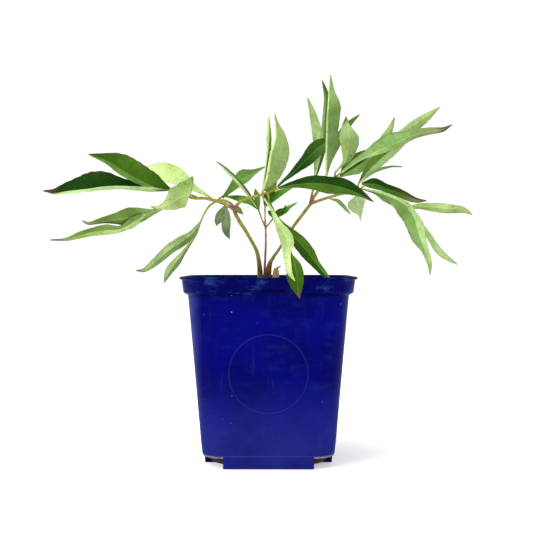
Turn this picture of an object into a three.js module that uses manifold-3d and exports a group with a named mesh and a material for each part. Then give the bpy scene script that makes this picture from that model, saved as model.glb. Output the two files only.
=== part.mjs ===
// A herbaceous peony in leaf, growing in a square moulded nursery pot.
// Millimetres, +Z up. The origin is the middle of the pot's flat base, and the pot's front faces -Y.

import * as THREE from 'three';
import { mergeVertices } from 'three/addons/utils/BufferGeometryUtils.js';
import Module from 'manifold-3d';

const wasm = await Module();
wasm.setup();

// Pot: heights above the base, half widths across the flats and corner radii
const POT_HEIGHT = 177.5;
const POT_WALL = 1.5;
const FLOOR_THICKNESS = 2;
const LIP_HALF = 82.5;
const LIP_HEIGHT = 2;
const LIP_UNDERCUT = 0.6;
const BAND_TOP_HALF = 80.5;
const BAND_FOOT_HALF = 79;
const BAND_FOOT_Z = 163;
const BODY_TOP_HALF = 75;
const BODY_TOP_Z = 160.5;
const LEDGE_THICKNESS = 1.2;
const BODY_FOOT_HALF = 63.5;
const BODY_FOOT_Z = 23;
const CREASE_HALF = 62.2;
const CREASE_Z = 12;
const SKIRT_HALF = 61;
const SKIRT_TOP_Z = 9;
const BASE_HALF = 60.5;
const RIM_CORNER = 28;
const FOOT_CORNER = 22;
const CORNER_STEPS = 6;

// The band's lower edge steps up in the middle of each side
const BAND_STEP_RISE = 3.2;
const BAND_STEP_HALF = 21;
const BAND_STEP_RAMP = 6;

// Drain notches at the four foot corners. Each starts at these distances from the middle of the front
// and of the side that it opens.
const NOTCH_FRONT_START = 42;
const NOTCH_SIDE_START = 27;
const NOTCH_HEIGHT = 10;
const NOTCH_REACH = 40;
const NOTCH_BELOW = 4;

// Plain raised ring on the front face
const RING_RADIUS = 37;
const RING_WIDTH = 1.6;
const RING_HEIGHT = 0.7;
const RING_ROOT = 1;
const RING_Z = 89;
const RING_SEGMENTS = 24;

// Potting mix: it fills the pot to a low mound, clear of every neighbour
const CLEARANCE = 0.4;
const WALL_CLEARANCE = 0.8;
const SOIL_EDGE_Z = 157;
const SOIL_MOUND = 4;
const SOIL_BUMP = 0.8;
const SOIL_BUMP_LENGTHS = [7, 9, 5];
const SOIL_RIM_DROP = 2;
const SOIL_RING_SHARES = [0.96, 0.74, 0.5, 0.26];
const SOIL_FOOT_INSET = 7;

// Crown and roots in the mix
const CROWN_Z = 134;
const CROWN_BACK = 2;
const CROWN_RADIUS = 21;
const CROWN_DEPTH_SHARE = 0.8;
const CROWN_HALF_HEIGHT = 12;
const CROWN_SEGMENTS = 10;
const CROWN_RINGS = 6;
const ROOT_COUNT = 6;
const ROOT_TURN = 0.4;
const ROOT_RADII = [5.5, 1.8];
const ROOT_REACHES = [6, 18, 27, 30];
const ROOT_SHOULDER_DROP = 12;
const ROOT_DROP = 62;
const ROOT_DROP_SWING = 14;
const ROOT_DROP_PHASE = 2.3;
const ROOT_SPREAD_SWING = 0.25;
const ROOT_SPREAD_PHASE = 3.7;
const STEM_FOOT_Z = 150;
const SEAT_GAP = 0.3;
const SEAT_MARGIN = 0.6;

// Leaves are laid out as they are seen from the front, on a drawing plane at DRAWING_DISTANCE from the
// eye. The eye stands level at EYE_HEIGHT, EYE_DISTANCE in front of the pot's axis.
const EYE_HEIGHT = 192;
const EYE_DISTANCE = 982;
const DRAWING_DISTANCE = 1000;

// Leaf blades
const EDGE_THICKNESS = 0.64;
const RIB_THICKNESS = 1.1;
const MOST_STATIONS = 9;
const FEWEST_STATIONS = 5;
const BASE_STATIONS = 3;
const STATION_SPACING = 17;
const BLADE_COLUMNS = [-1, -0.55, 0, 0.55, 1];
const WAVE_DEPTH = 0.9;
const WAVES_A_BLADE = 2.5;
const WAVE_PHASE = 1.8;
const TIP_HALF_WIDTH = 0.45;
const BASE_HALF_WIDTH = 1;
const STALK_RADIUS = 1;
const STUB_LENGTH = 2.6;
const STUB_ROOT = 1;
const STALK_SIDES = 6;
const STEM_SIDES = 8;
const CURVE_STEPS = 120;
const WELD_DISTANCE = 1e-4;

const COLOURS = {
  pot: { color: 0x141470, roughness: 0.5, metalness: 0 },
  soil: { color: 0x2b1f17, roughness: 1, metalness: 0 },
  root: { color: 0x7a5a3c, roughness: 0.9, metalness: 0 },
  stem: { color: 0x8f8a45, roughness: 0.55, metalness: 0 },
  redStem: { color: 0x8a4f3a, roughness: 0.55, metalness: 0 },
  straw: { color: 0xc2a06a, roughness: 0.9, metalness: 0 },
  upper: { color: 0x2c571d, roughness: 0.5, metalness: 0 },
  under: { color: 0xa7c184, roughness: 0.65, metalness: 0 },
};

// A point of the drawing: across to the right of the pot's axis, rise above eye level, both as drawn,
// and toward, the real distance that it lies nearer than the axis
function seen([across, rise, toward]) {
  const scale = (EYE_DISTANCE - toward) / DRAWING_DISTANCE;
  return new THREE.Vector3(across * scale, -toward, EYE_HEIGHT + rise * scale);
}

function spline(points, t) {
  const last = points.length - 1;
  const place = Math.min(t * last, last - 1e-9);
  const i = Math.floor(place);
  const u = place - i;
  const b = points[i];
  const c = points[i + 1];
  const a = points[i - 1] ?? b.map((v, k) => 2 * v - c[k]);
  const d = points[i + 2] ?? c.map((v, k) => 2 * v - b[k]);
  return b.map((v, k) => {
    const slope = (c[k] - a[k]) / 2;
    const nextSlope = (d[k] - v) / 2;
    const gain = c[k] - v;
    return v + u * (slope + u * (3 * gain - 2 * slope - nextSlope + u * (slope + nextSlope - 2 * gain)));
  });
}

// The same curve, by its share of length
function evenly(points, count) {
  const fine = Array.from({ length: CURVE_STEPS + 1 }, (_, i) => spline(points, i / CURVE_STEPS));
  const run = [0];
  for (let i = 1; i < fine.length; i += 1) {
    const step = Math.hypot(...fine[i].map((v, k) => v - fine[i - 1][k]));
    run.push(run[i - 1] + step);
  }
  const total = run[run.length - 1];
  const places = [];
  let j = 0;
  for (let i = 0; i < count; i += 1) {
    const goal = (total * i) / (count - 1);
    while (j < run.length - 2 && run[j + 1] < goal) j += 1;
    const share = Math.min(1, Math.max(0, (goal - run[j]) / (run[j + 1] - run[j])));
    places.push(fine[j].map((v, k) => v + share * (fine[j + 1][k] - v)));
  }
  return places;
}

function triangulated(points, faces) {
  const geometry = new THREE.BufferGeometry();
  const values = points.flatMap((p) => [p.x, p.y, p.z]);
  geometry.setAttribute('position', new THREE.Float32BufferAttribute(values, 3));
  geometry.setIndex(faces.flat());
  return geometry;
}

// Closed rings of points joined in order, with both ends capped
function loft(rings) {
  const count = rings[0].length;
  const points = rings.flat();
  const faces = [];
  for (let i = 0; i < rings.length - 1; i += 1) {
    for (let j = 0; j < count; j += 1) {
      const a = i * count + j;
      const b = i * count + ((j + 1) % count);
      faces.push([a, b, a + count], [b, b + count, a + count]);
    }
  }
  const top = (rings.length - 1) * count;
  for (let j = 1; j < count - 1; j += 1) {
    faces.push([0, j + 1, j], [top, top + j, top + j + 1]);
  }
  return triangulated(points, faces);
}

function solid(geometry) {
  const bare = geometry.clone();
  bare.deleteAttribute('normal');
  bare.deleteAttribute('uv');
  const merged = mergeVertices(bare, WELD_DISTANCE);
  return new wasm.Manifold(new wasm.Mesh({
    numProp: 3,
    vertProperties: new Float32Array(merged.attributes.position.array),
    triVerts: new Uint32Array(merged.index.array),
  }));
}

function geometryOf(body) {
  const mesh = body.getMesh();
  const geometry = new THREE.BufferGeometry();
  geometry.setAttribute('position', new THREE.BufferAttribute(new Float32Array(mesh.vertProperties), 3));
  geometry.setIndex(new THREE.BufferAttribute(new Uint32Array(mesh.triVerts), 1));
  return geometry;
}

const joined = (bodies) => bodies.reduce((whole, body) => whole.add(body));

// A round stalk through real points, its radii at even shares of the way
function tube(points, radii, sides) {
  const rings = [];
  let side = new THREE.Vector3(1, 0, 0);
  points.forEach((point, i) => {
    const before = points[Math.max(i - 1, 0)];
    const after = points[Math.min(i + 1, points.length - 1)];
    const along = after.clone().sub(before).normalize();
    side = side.clone().addScaledVector(along, -side.dot(along)).normalize();
    const other = along.clone().cross(side);
    const share = i / (points.length - 1);
    const [radius] = spline(radii.map((value) => [value]), share);
    rings.push(Array.from({ length: sides }, (_, j) => {
      const turn = (2 * Math.PI * j) / sides;
      const rim = point.clone().addScaledVector(side, radius * Math.cos(turn));
      return rim.addScaledVector(other, radius * Math.sin(turn));
    }));
  });
  return loft(rings);
}

// Half width of one side of a blade at a share t of its length
function halfWidth(side, t) {
  const [value] = spline([BASE_HALF_WIDTH, ...side, TIP_HALF_WIDTH].map((v) => [v]), t);
  return Math.abs(value) < TIP_HALF_WIDTH ? Math.sign(value || 1) * TIP_HALF_WIDTH : value;
}

// One lobe: a thin waved blade along its midrib. left and right are its half widths as drawn, seen
// along the midrib, and lean is how far each margin stands toward the eye at its widest.
function lobe({ rib, left, right, lean }) {
  const length = Math.hypot(...rib[rib.length - 1].map((v, k) => v - rib[0][k]));
  const wanted = BASE_STATIONS + Math.round(length / STATION_SPACING);
  const stations = Math.max(FEWEST_STATIONS, Math.min(MOST_STATIONS, wanted));
  const places = evenly(rib, stations);
  const widest = [left, right].map((side) => Math.max(...side.map(Math.abs)));
  const grid = places.map((place, i) => {
    const before = places[Math.max(i - 1, 0)];
    const after = places[Math.min(i + 1, places.length - 1)];
    const run = [after[0] - before[0], after[1] - before[1]];
    const step = Math.hypot(...run);
    const toLeft = [-run[1] / step, run[0] / step];
    const t = i / (stations - 1);
    return BLADE_COLUMNS.map((column) => {
      const onLeft = column < 0;
      const share = Math.abs(column);
      const width = halfWidth(onLeft ? left : right, t) * share;
      const direction = onLeft ? 1 : -1;
      const fullness = Math.abs(width) / widest[onLeft ? 0 : 1];
      const wave = Math.sin(2 * Math.PI * WAVES_A_BLADE * t + (onLeft ? 0 : WAVE_PHASE));
      const depth = lean[onLeft ? 0 : 1] * fullness + WAVE_DEPTH * share * fullness * wave;
      return seen([
        place[0] + toLeft[0] * width * direction,
        place[1] + toLeft[1] * width * direction,
        place[2] + depth,
      ]);
    });
  });
  return thickened(grid);
}

// A grid of points made into a thin solid: its two faces are split along the same diagonals
function thickened(grid) {
  const rows = grid.length;
  const columns = grid[0].length;
  const front = [];
  const back = [];
  grid.forEach((row, i) => row.forEach((point, j) => {
    const along = grid[Math.min(i + 1, rows - 1)][j].clone().sub(grid[Math.max(i - 1, 0)][j]);
    const across = row[Math.min(j + 1, columns - 1)].clone().sub(row[Math.max(j - 1, 0)]);
    const normal = across.cross(along).normalize();
    const share = 1 - Math.abs(BLADE_COLUMNS[j]);
    const half = (EDGE_THICKNESS + (RIB_THICKNESS - EDGE_THICKNESS) * share) / 2;
    front.push(point.clone().addScaledVector(normal, half));
    back.push(point.clone().addScaledVector(normal, -half));
  }));
  const under = rows * columns;
  const faces = [];
  const strip = (a, b) => faces.push([a, b, a + under], [b, b + under, a + under]);
  for (let i = 0; i < rows - 1; i += 1) {
    for (let j = 0; j < columns - 1; j += 1) {
      const a = i * columns + j;
      const b = a + 1;
      const c = a + columns;
      const d = c + 1;
      faces.push([a, b, c], [b, d, c]);
      faces.push([a + under, c + under, b + under], [b + under, c + under, d + under]);
    }
    strip(i * columns, (i + 1) * columns);
    strip((i + 2) * columns - 1, (i + 1) * columns - 1);
  }
  const last = (rows - 1) * columns;
  for (let j = 0; j < columns - 1; j += 1) {
    strip(j + 1, j);
    strip(last + j, last + j + 1);
  }
  return triangulated([...front, ...back], faces);
}

// Leaflets. Each leaves its stem's branch at from, and its blades share its stalk's end, or grow from
// one another's midribs. The face toward the eye is the dark upper one or the pale under one.
const leaflets = {
  leaflet_left_end: {
    stem: 'stem_left',
    face: 'upper',
    stalk: [[-88, 69, 21], [-98, 71, 22]],
    lobes: [
      {
        rib: [[-97, 71, 22], [-114.5, 74, 27], [-135, 84, 34], [-148.5, 92, 40], [-160.5, 99.5, 45],
          [-180, 107, 50]],
        left: [3, 4, 4.8, 2.8],
        right: [12, 15, 16.3, 15, 7],
        lean: [5, -9],
      },
      {
        rib: [[-97, 71, 22], [-116.5, 70, 25.5], [-132.5, 71.2, 29], [-148.5, 72.4, 32], [-164.5, 71.7, 35],
          [-180.5, 69.6, 38.5], [-198.5, 68, 42], [-213.5, 67, 44], [-225.5, 70.5, 45]],
        left: [-4, -3.5, -3, -3, -2.8, -2],
        right: [8, 9, 10.5, 17.6, 19, 14, 8],
        lean: [12, -14],
      },
    ],
  },
  leaflet_left_top: {
    stem: 'stem_left',
    face: 'under',
    stalk: [[-55, 61, 15], [-60, 65, 9]],
    lobes: [
      {
        rib: [[-60, 65, 9], [-73.5, 75, 0], [-88.5, 87, -14], [-103.5, 93, -27], [-121.5, 95.5, -40]],
        left: [6, 12, 12],
        right: [1.5, 5, 5.5],
        lean: [-8, 5],
      },
    ],
  },
  leaflet_left_twisted: {
    stem: 'stem_left',
    face: 'under',
    stalk: [[-73, 64.5, 20], [-79, 67, 31]],
    lobes: [
      {
        rib: [[-79, 67, 31], [-87.5, 64, 35], [-95.5, 59.5, 38], [-103.5, 56, 41], [-110.5, 54, 43],
          [-118, 54.5, 44]],
        left: [10, 9, 6, 2.8],
        right: [12, 12, 5.2, 1.8],
        lean: [-4, 3],
      },
      {
        rib: [[-79, 67, 31], [-78, 75, 36], [-76, 85, 38]],
        left: [14, 12, 5.5],
        right: [2, 2, 2],
        lean: [2, -3],
      },
    ],
  },
  leaflet_left_low: {
    stem: 'stem_left',
    face: 'under',
    stalk: [[-80, 64, 21], [-92, 57, 26], [-106, 53, 31]],
    lobes: [
      {
        rib: [[-105, 53, 31], [-122.5, 47.5, 34], [-138.5, 44, 36], [-156.5, 41, 38], [-171.5, 39, 39],
          [-180.5, 37.7, 39.5], [-186.2, 40.7, 40]],
        left: [3.5, 7, 9, 5, 2.2, 1.8],
        right: [3, 7.4, 9.8, 7, 4.9, 2.2],
        lean: [-8, 6],
      },
      {
        rib: [[-122.5, 48, 34], [-134.5, 39.5, 34], [-148.5, 32.5, 34], [-163.5, 31, 35], [-176.5, 29.2, 36],
          [-188.5, 26, 37], [-202.5, 21.8, 38.5], [-218.5, 21.2, 40]],
        left: [4.7, 3.6, 4.6, 4.2, 3, 1.4],
        right: [5, 3, 5.6, 4.3, 3.4, 1.4],
        lean: [-3, 6],
      },
    ],
  },
  leaflet_left_hanging: {
    stem: 'stem_left',
    face: 'under',
    stalk: [[-54, 59, 15], [-59.5, 55, 18], [-64.5, 47, 24], [-68.5, 38, 30]],
    lobes: [
      {
        rib: [[-68.3, 39, 29], [-77, 27, 39], [-87.5, 19.5, 46], [-98, 12.5, 52], [-108, 4, 58],
          [-117.5, -4, 63.5],
          [-125, -9, 67], [-132.5, -9.3, 70]],
        left: [3, 5.3, 4.8, 4.6, 3.2],
        right: [3.2, 5.2, 5.6, 4.5, 2.9],
        lean: [-5, 3],
      },
      {
        rib: [[-68.3, 39, 29], [-73, 27, 34], [-78, 18, 37], [-84.9, 8.5, 39], [-91, 1, 40], [-97, -7, 40],
          [-101, -14, 40], [-104.3, -21.5, 40]],
        left: [1.5, 1.2, 2.2, 4.3, 3.2],
        right: [2, 1.7, 2.3, 3.8, 4.4],
        lean: [-4, 2],
      },
    ],
  },
  leaflet_rear_hanging: {
    stem: 'stem_left',
    face: 'under',
    stalk: [[-43, 60.5, 0], [-43, 55, -5]],
    lobes: [
      {
        rib: [[-43, 55.5, -5], [-46.5, 49, -12], [-51, 41, -20], [-52, 35.5, -28]],
        left: [4, 5, 4],
        right: [3.3, 4.2, 2.6],
        lean: [-3, 3],
      },
      {
        rib: [[-43, 55.5, -5], [-42, 43, -18], [-42, 31, -32], [-39, 22.5, -42]],
        left: [3.5, 4.3, 3.5],
        right: [4, 5, 4],
        lean: [3, -3],
      },
      {
        rib: [[-43, 55.5, -5], [-32, 52.5, -14], [-25.5, 47, -22]],
        left: [2, 3],
        right: [2, 3],
        lean: [-2, 2],
      },
    ],
  },
  leaflet_rear_top: {
    stem: 'stem_left',
    face: 'upper',
    stalk: [[-50.5, 61.5, -6], [-46, 65, -13]],
    lobes: [
      {
        rib: [[-46, 63.5, -12], [-37.5, 71.5, -26], [-28.5, 80.5, -44], [-18, 87, -62], [-3.5, 94.5, -80]],
        left: [3.7, 6.4, 8.5, 3.1],
        right: [2.6, 4.6, 5.4, 2.5],
        lean: [-8, 8],
      },
    ],
  },
  leaflet_centre_left: {
    stem: 'stem_centre',
    face: 'upper',
    stalk: [[-8.8, 48, -9], [-10.5, 53, -9]],
    lobes: [
      {
        rib: [[-10, 52, -9], [-15.5, 60.5, -6], [-24, 72.5, -4], [-33.5, 83.5, -4], [-44.5, 94, -5],
          [-52, 99.5, -5]],
        left: [1.5, 2.2, 2.5, 2],
        right: [1.5, 2, 2, 1.5],
        lean: [-7, 7],
      },
      {
        rib: [[-10, 52, -9], [-19.5, 59, -18], [-29.5, 62.8, -28], [-38.5, 64.5, -35], [-46.5, 65.2, -42]],
        left: [2, 3.4, 2],
        right: [4.5, 3.7, 1.5],
        lean: [4, -5],
      },
      {
        rib: [[-10, 52, -9], [-11.5, 64, -17], [-13.5, 72.5, -22]],
        left: [2.5, 3],
        right: [2.5, 3],
        lean: [2, -2],
      },
    ],
  },
  leaflet_centre_middle: {
    stem: 'stem_centre',
    face: 'upper',
    stalk: [[-3.5, 50, -10], [-3.5, 56, -12]],
    lobes: [
      {
        rib: [[-3.5, 55, -12], [4, 61, -19], [12.5, 67.5, -29], [24, 73.5, -40]],
        left: [4, 5, 3],
        right: [2, 2.3, 1.5],
        lean: [-5, 4],
      },
      {
        rib: [[-3.5, 55, -12], [-0.5, 64, -19], [4.5, 74, -24], [7.5, 80, -28]],
        left: [4, 4.5, 3],
        right: [4, 4.5, 3],
        lean: [-2, 2],
      },
    ],
  },
  leaflet_centre_right: {
    stem: 'stem_centre',
    face: 'upper',
    stalk: [[3, 40.6, -10], [5.5, 44, -11]],
    lobes: [
      {
        rib: [[5, 43.5, -11], [9, 48, -14], [15.5, 52, -18], [17.5, 56, -20]],
        left: [2.5, 3, 1.5],
        right: [2.5, 3, 1.5],
        lean: [-3, 3],
      },
      {
        rib: [[5, 43.5, -11], [14.5, 49.5, -19], [21.5, 54.5, -23], [28.5, 58.5, -27]],
        left: [2.5, 3, 1.5],
        right: [2.5, 3, 1.5],
        lean: [-3, 3],
      },
      {
        rib: [[5, 43.5, -11], [2.5, 47.5, -14], [-0.5, 50.5, -18]],
        left: [2, 2],
        right: [2, 2],
        lean: [-2, 2],
      },
    ],
  },
  leaflet_mid_upright: {
    stem: 'stem_left',
    face: 'under',
    stalk: [[-6.5, 66.5, 21], [-5, 74, 22]],
    lobes: [
      {
        rib: [[-5.5, 71, 22], [-1.2, 84, 23.5], [1.3, 98, 26.5], [2.8, 108, 28.5], [5.4, 116.7, 30],
          [7.2, 125.3, 31.5], [7.2, 134, 33], [5.9, 148, 35]],
        left: [1.5, 1.5, 1.2, 0.7, 0.5],
        right: [10, 15, 17.6, 16.9, 10.5, 3.8],
        lean: [2, -12],
      },
      {
        rib: [[-5.5, 72, 22], [-3, 91, 17], [-0.5, 111, 14], [0.5, 126, 12], [0, 145, 11]],
        left: [0.8, 1.4, 2.4],
        right: [2, 3, 2.3],
        lean: [-3, -4],
      },
      {
        rib: [[-5, 71, 22], [0.5, 74.5, 15], [5, 78, 8], [8.5, 81.5, 3]],
        left: [3, 4],
        right: [4.5, 4.5],
        lean: [-2, 2],
      },
    ],
  },
  leaflet_mid_rising: {
    stem: 'stem_left',
    face: 'upper',
    stalk: [[3.5, 70, 20], [10, 75.5, 18]],
    lobes: [
      {
        rib: [[9, 74.5, 18], [15, 80.7, 16], [22, 86.3, 13.5], [30.8, 94.6, 9], [40.8, 104.4, 3],
          [48.1, 112.2, -3], [55, 117, -8], [64.5, 120.5, -13]],
        left: [1.3, 2.7, 4.2, 5.5, 7.6, 8, 5.8],
        right: [1.8, 2.7, 4.3, 6.5, 7.2, 7.5, 8],
        lean: [-5, 5],
      },
    ],
  },
  leaflet_mid_long: {
    stem: 'stem_left',
    face: 'upper',
    stalk: [[3.5, 70, 22], [11, 73, 26]],
    lobes: [
      {
        rib: [[10, 73, 26], [21.5, 75.5, 30], [36.5, 77.5, 34], [53.5, 77.5, 38], [71.5, 74, 43],
          [87.5, 68.5, 48], [105, 59.5, 53]],
        left: [4.4, 7.7, 8.1, 9.5, 5.5],
        right: [2.8, 6, 9.1, 6.3, 2.6],
        lean: [-6, 10],
      },
    ],
  },
  leaflet_front_pale: {
    stem: 'stem_left',
    face: 'under',
    stalk: [[-6.5, 66, 22], [-5, 62, 29]],
    lobes: [
      {
        rib: [[-4.5, 62.5, 28], [2.3, 53, 37], [6.8, 44, 46], [11.4, 34.5, 55], [16.3, 26, 62],
          [18.5, 18, 69],
          [18.3, 8, 77], [19.4, -2, 85], [20.9, -11, 92], [26.5, -19.8, 96]],
        left: [1.2, 2.2, 3.8, 6.2, 7.2, 4.4, 3.3, 3.1],
        right: [1.2, 2.2, 3.8, 5.8, 6.4, 4.2, 3.3, 3],
        lean: [-4, 2],
      },
      {
        rib: [[16.3, 26, 62], [20.5, 14, 69], [24.5, 3, 77], [27.2, -7, 84], [28.5, -17, 88.5],
          [29.5, -27, 90.5],
          [31, -37, 92]],
        left: [2, 0.9, 5.4, 7.1, 5.2],
        right: [3, 4, 7, 10.3, 7],
        lean: [-3, -1],
      },
    ],
  },
  leaflet_front_dark: {
    stem: 'stem_left',
    face: 'upper',
    stalk: [[-1, 68.5, 22], [1, 60, 24]],
    lobes: [
      {
        rib: [[0.5, 61, 24], [4, 52, 29], [7.5, 44, 33], [13.5, 35.5, 38], [22, 27.5, 43.5], [31.2, 18.8, 49],
          [40.1, 7.7, 55], [47.1, -1.7, 60], [55.9, -12.5, 65], [63.5, -20, 68]],
        left: [1.5, 2.9, 4.5, 6, 6.9, 6.5, 3.7, 3],
        right: [1.5, 2.9, 4.5, 6.5, 7.2, 7, 5, 3.5],
        lean: [-6, 3],
      },
    ],
  },
  leaflet_right_tall: {
    stem: 'stem_right',
    face: 'under',
    stalk: [[53.5, 74, -8], [57, 84.5, 0]],
    lobes: [
      {
        rib: [[57.5, 84, -1], [58, 104, 3], [58.5, 122, 5], [59.5, 150, 8], [60.5, 166, 9],
          [62, 186.5, 10]],
        left: [0.8, 1.3, 1.1, 1.2, 0.7, 0.8],
        right: [4, 11.5, 10.8, 12, 12.2, 5],
        lean: [2, -8],
      },
      {
        rib: [[57.5, 84, -1], [61, 98, -8], [65.5, 112.5, -15], [72.5, 125.5, -21], [81.5, 137.5, -26],
          [91, 146.5, -30]],
        left: [2, 4, 4.5, 3.6],
        right: [1.6, 4, 4.5, 2.5],
        lean: [-4, 3],
      },
    ],
  },
  leaflet_right_tall_rear: {
    stem: 'stem_right',
    face: 'upper',
    stalk: [[45.5, 75, -12], [47, 84, -17]],
    lobes: [
      {
        rib: [[47, 84, -16], [50.5, 97.5, -20], [53, 109, -23], [54.5, 123, -26], [55.5, 137, -28],
          [56.8, 153, -28], [57, 166, -28], [53.7, 180.8, -28]],
        left: [3.4, 3.5, 2.5, 2.2, 2, 1.6],
        right: [2.5, 3.5, 3.5, 3, 2.8, 3.2],
        lean: [4, -4],
      },
      {
        rib: [[47, 84, -16], [48, 101, -32], [48.8, 121, -42], [47.3, 136, -50], [44, 150, -56],
          [39, 163.5, -62]],
        left: [2.5, 4, 4.8, 4],
        right: [2.5, 4.5, 5, 3],
        lean: [3, -5],
      },
    ],
  },
  leaflet_right_upright: {
    stem: 'stem_right',
    face: 'under',
    stalk: [[66, 83.5, -6], [67, 90, 1]],
    lobes: [
      {
        rib: [[66.5, 88.5, 0], [72.5, 95, 5], [77, 101, 9], [79.2, 111, 12], [80.5, 121, 15],
          [80, 131, 17.5], [77.5, 144.6, 20]],
        left: [1.3, 3.8, 7.2, 9.5, 7],
        right: [1.3, 5.7, 9.2, 9.7, 3],
        lean: [5, -6],
      },
    ],
  },
  leaflet_right_long: {
    stem: 'stem_right',
    face: 'under',
    stalk: [[67, 84, -6], [73, 89, 4]],
    lobes: [
      {
        rib: [[72.5, 88.5, 3], [81.5, 95, 9], [90.5, 101, 15], [102.5, 107, 21], [117.5, 114, 29],
          [133.5, 121, 38], [147.5, 126.7, 45], [161.5, 130, 51], [174.5, 132, 56], [183.5, 136.5, 60]],
        left: [3.2, 5.3, 9.8, 11.5, 7, 4.8, 2.8],
        right: [1.2, 1.5, 3.4, 5, 5, 3.8, 3.5, 3],
        lean: [6, -4],
      },
      {
        rib: [[102.5, 107, 21], [112.5, 116.5, 12], [121, 130, 3], [126.1, 144, -4]],
        left: [4, 4.8, 3],
        right: [3, 3.5, 2.5],
        lean: [3, -3],
      },
      {
        rib: [[102.5, 107, 21], [126.5, 124, -2], [142.5, 134, -22], [156.5, 143.5, -42], [171, 154, -60]],
        left: [3, 3, 4.7, 3.6],
        right: [3, 4, 6, 4.6],
        lean: [4, -5],
      },
    ],
  },
  leaflet_right_short: {
    stem: 'stem_right',
    face: 'upper',
    stalk: [[67, 83, -8], [73, 84.5, -11]],
    lobes: [
      {
        rib: [[72.5, 85, -11], [82.5, 91, -16], [92.5, 97.5, -21], [102.5, 105, -26]],
        left: [3.2, 3.9, 3.5],
        right: [4.3, 7.5, 6],
        lean: [-3, 3],
      },
      {
        rib: [[72, 84.5, -11], [77, 95, -19], [86.5, 105, -28], [96.5, 111, -36]],
        left: [2.5, 2.5, 2],
        right: [2.5, 2.5, 2],
        lean: [-2, 2],
      },
    ],
  },
  leaflet_right_behind: {
    stem: 'stem_right',
    face: 'upper',
    stalk: [[88, 71, -8], [91, 80, -5]],
    lobes: [
      {
        rib: [[91, 79, -5], [98.5, 88.5, -7], [107.5, 98, -8], [118.5, 107.5, -8], [129.5, 115, -8],
          [140, 121.5, -8]],
        left: [4.5, 7.5, 7, 4],
        right: [3, 6, 6.3, 4.4],
        lean: [2, 4],
      },
      {
        rib: [[91, 79, -5], [106, 90, 3], [121.5, 94.5, 6], [134, 94.5, 8]],
        left: [1.2, 1.3, 0.9],
        right: [1.5, 1.8, 1],
        lean: [-3, 3],
      },
    ],
  },
  leaflet_right_dark: {
    stem: 'stem_right',
    face: 'upper',
    stalk: [[91, 71.5, -9], [97, 76.5, -12]],
    lobes: [
      {
        rib: [[93, 77.5, -13], [106.5, 77, -13], [117.5, 73, -12], [128.5, 69, -10], [139.5, 64.5, -7],
          [148.5, 61.5, -5], [158, 60.5, -3]],
        left: [5.8, 4.6, 4.6, 4, 2],
        right: [4.8, 4.2, 4.1, 4.2, 3.5],
        lean: [-5, 5],
      },
    ],
  },
  leaflet_right_drooping: {
    stem: 'stem_right',
    face: 'under',
    stalk: [[91.5, 71.5, -8], [97, 72, 1]],
    lobes: [
      {
        rib: [[96.5, 71.7, 0], [105.5, 69.7, 8], [114.8, 67.2, 16], [122.5, 64.3, 21], [131.5, 60, 28],
          [139.8, 53.5, 36], [145, 45.5, 43], [148.5, 35, 49], [152, 23, 55], [157, 10, 61], [161, -2, 66],
          [161.8, -14, 70]],
        left: [1.5, 2.2, 2.7, 4, 4.3, 7, 5.6, 3.8, 2.5],
        right: [2.5, 6.8, 8, 12, 12, 10.4, 8.7, 4.2, 2.6],
        lean: [2, -6],
      },
      {
        rib: [[139.8, 53.5, 36], [146.5, 44, 39], [153.5, 34, 40], [161.1, 24.2, 39], [166.9, 15, 38],
          [172.5, 8.5, 37], [179.9, 2.6, 36], [189, -3.2, 34]],
        left: [2.5, 3, 3, 3.3, 2.3],
        right: [3, 2.5, 2.9, 3.6, 2.8],
        lean: [-3, 3],
      },
      {
        rib: [[139.8, 53.5, 36], [151.5, 54.7, 33], [163.5, 54, 30], [175.5, 53, 27], [187.5, 52, 24],
          [196.5, 50.5, 22], [203.7, 46.6, 20]],
        left: [3.4, 4.1, 4.8, 4.4, 3.5],
        right: [2.5, 4, 4.9, 4.6, 3],
        lean: [4, -4],
      },
    ],
  },
  leaflet_right_hanging: {
    stem: 'stem_right',
    face: 'under',
    stalk: [[86, 70.5, -8], [87.5, 64, -11]],
    lobes: [
      {
        rib: [[87.5, 65, -11], [88.5, 58, -13], [91, 49, -15], [92, 40.5, -17]],
        left: [8.5, 6.8, 3.8, 1.4],
        right: [8.6, 9.4, 6.5, 1.2],
        lean: [-3, 3],
      },
    ],
  },
  leaflet_right_thin: {
    stem: 'stem_right',
    face: 'under',
    stalk: [[60, 63.5, -9], [64.5, 61.5, -4]],
    lobes: [
      {
        rib: [[64, 61.7, -4.5], [69, 60.5, -3], [73.5, 56.5, -3], [78, 51.5, -3], [82, 47, -3]],
        left: [1.8, 1.9, 1.5],
        right: [1.8, 1.9, 1.5],
        lean: [-1, 1],
      },
    ],
  },
};

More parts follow.
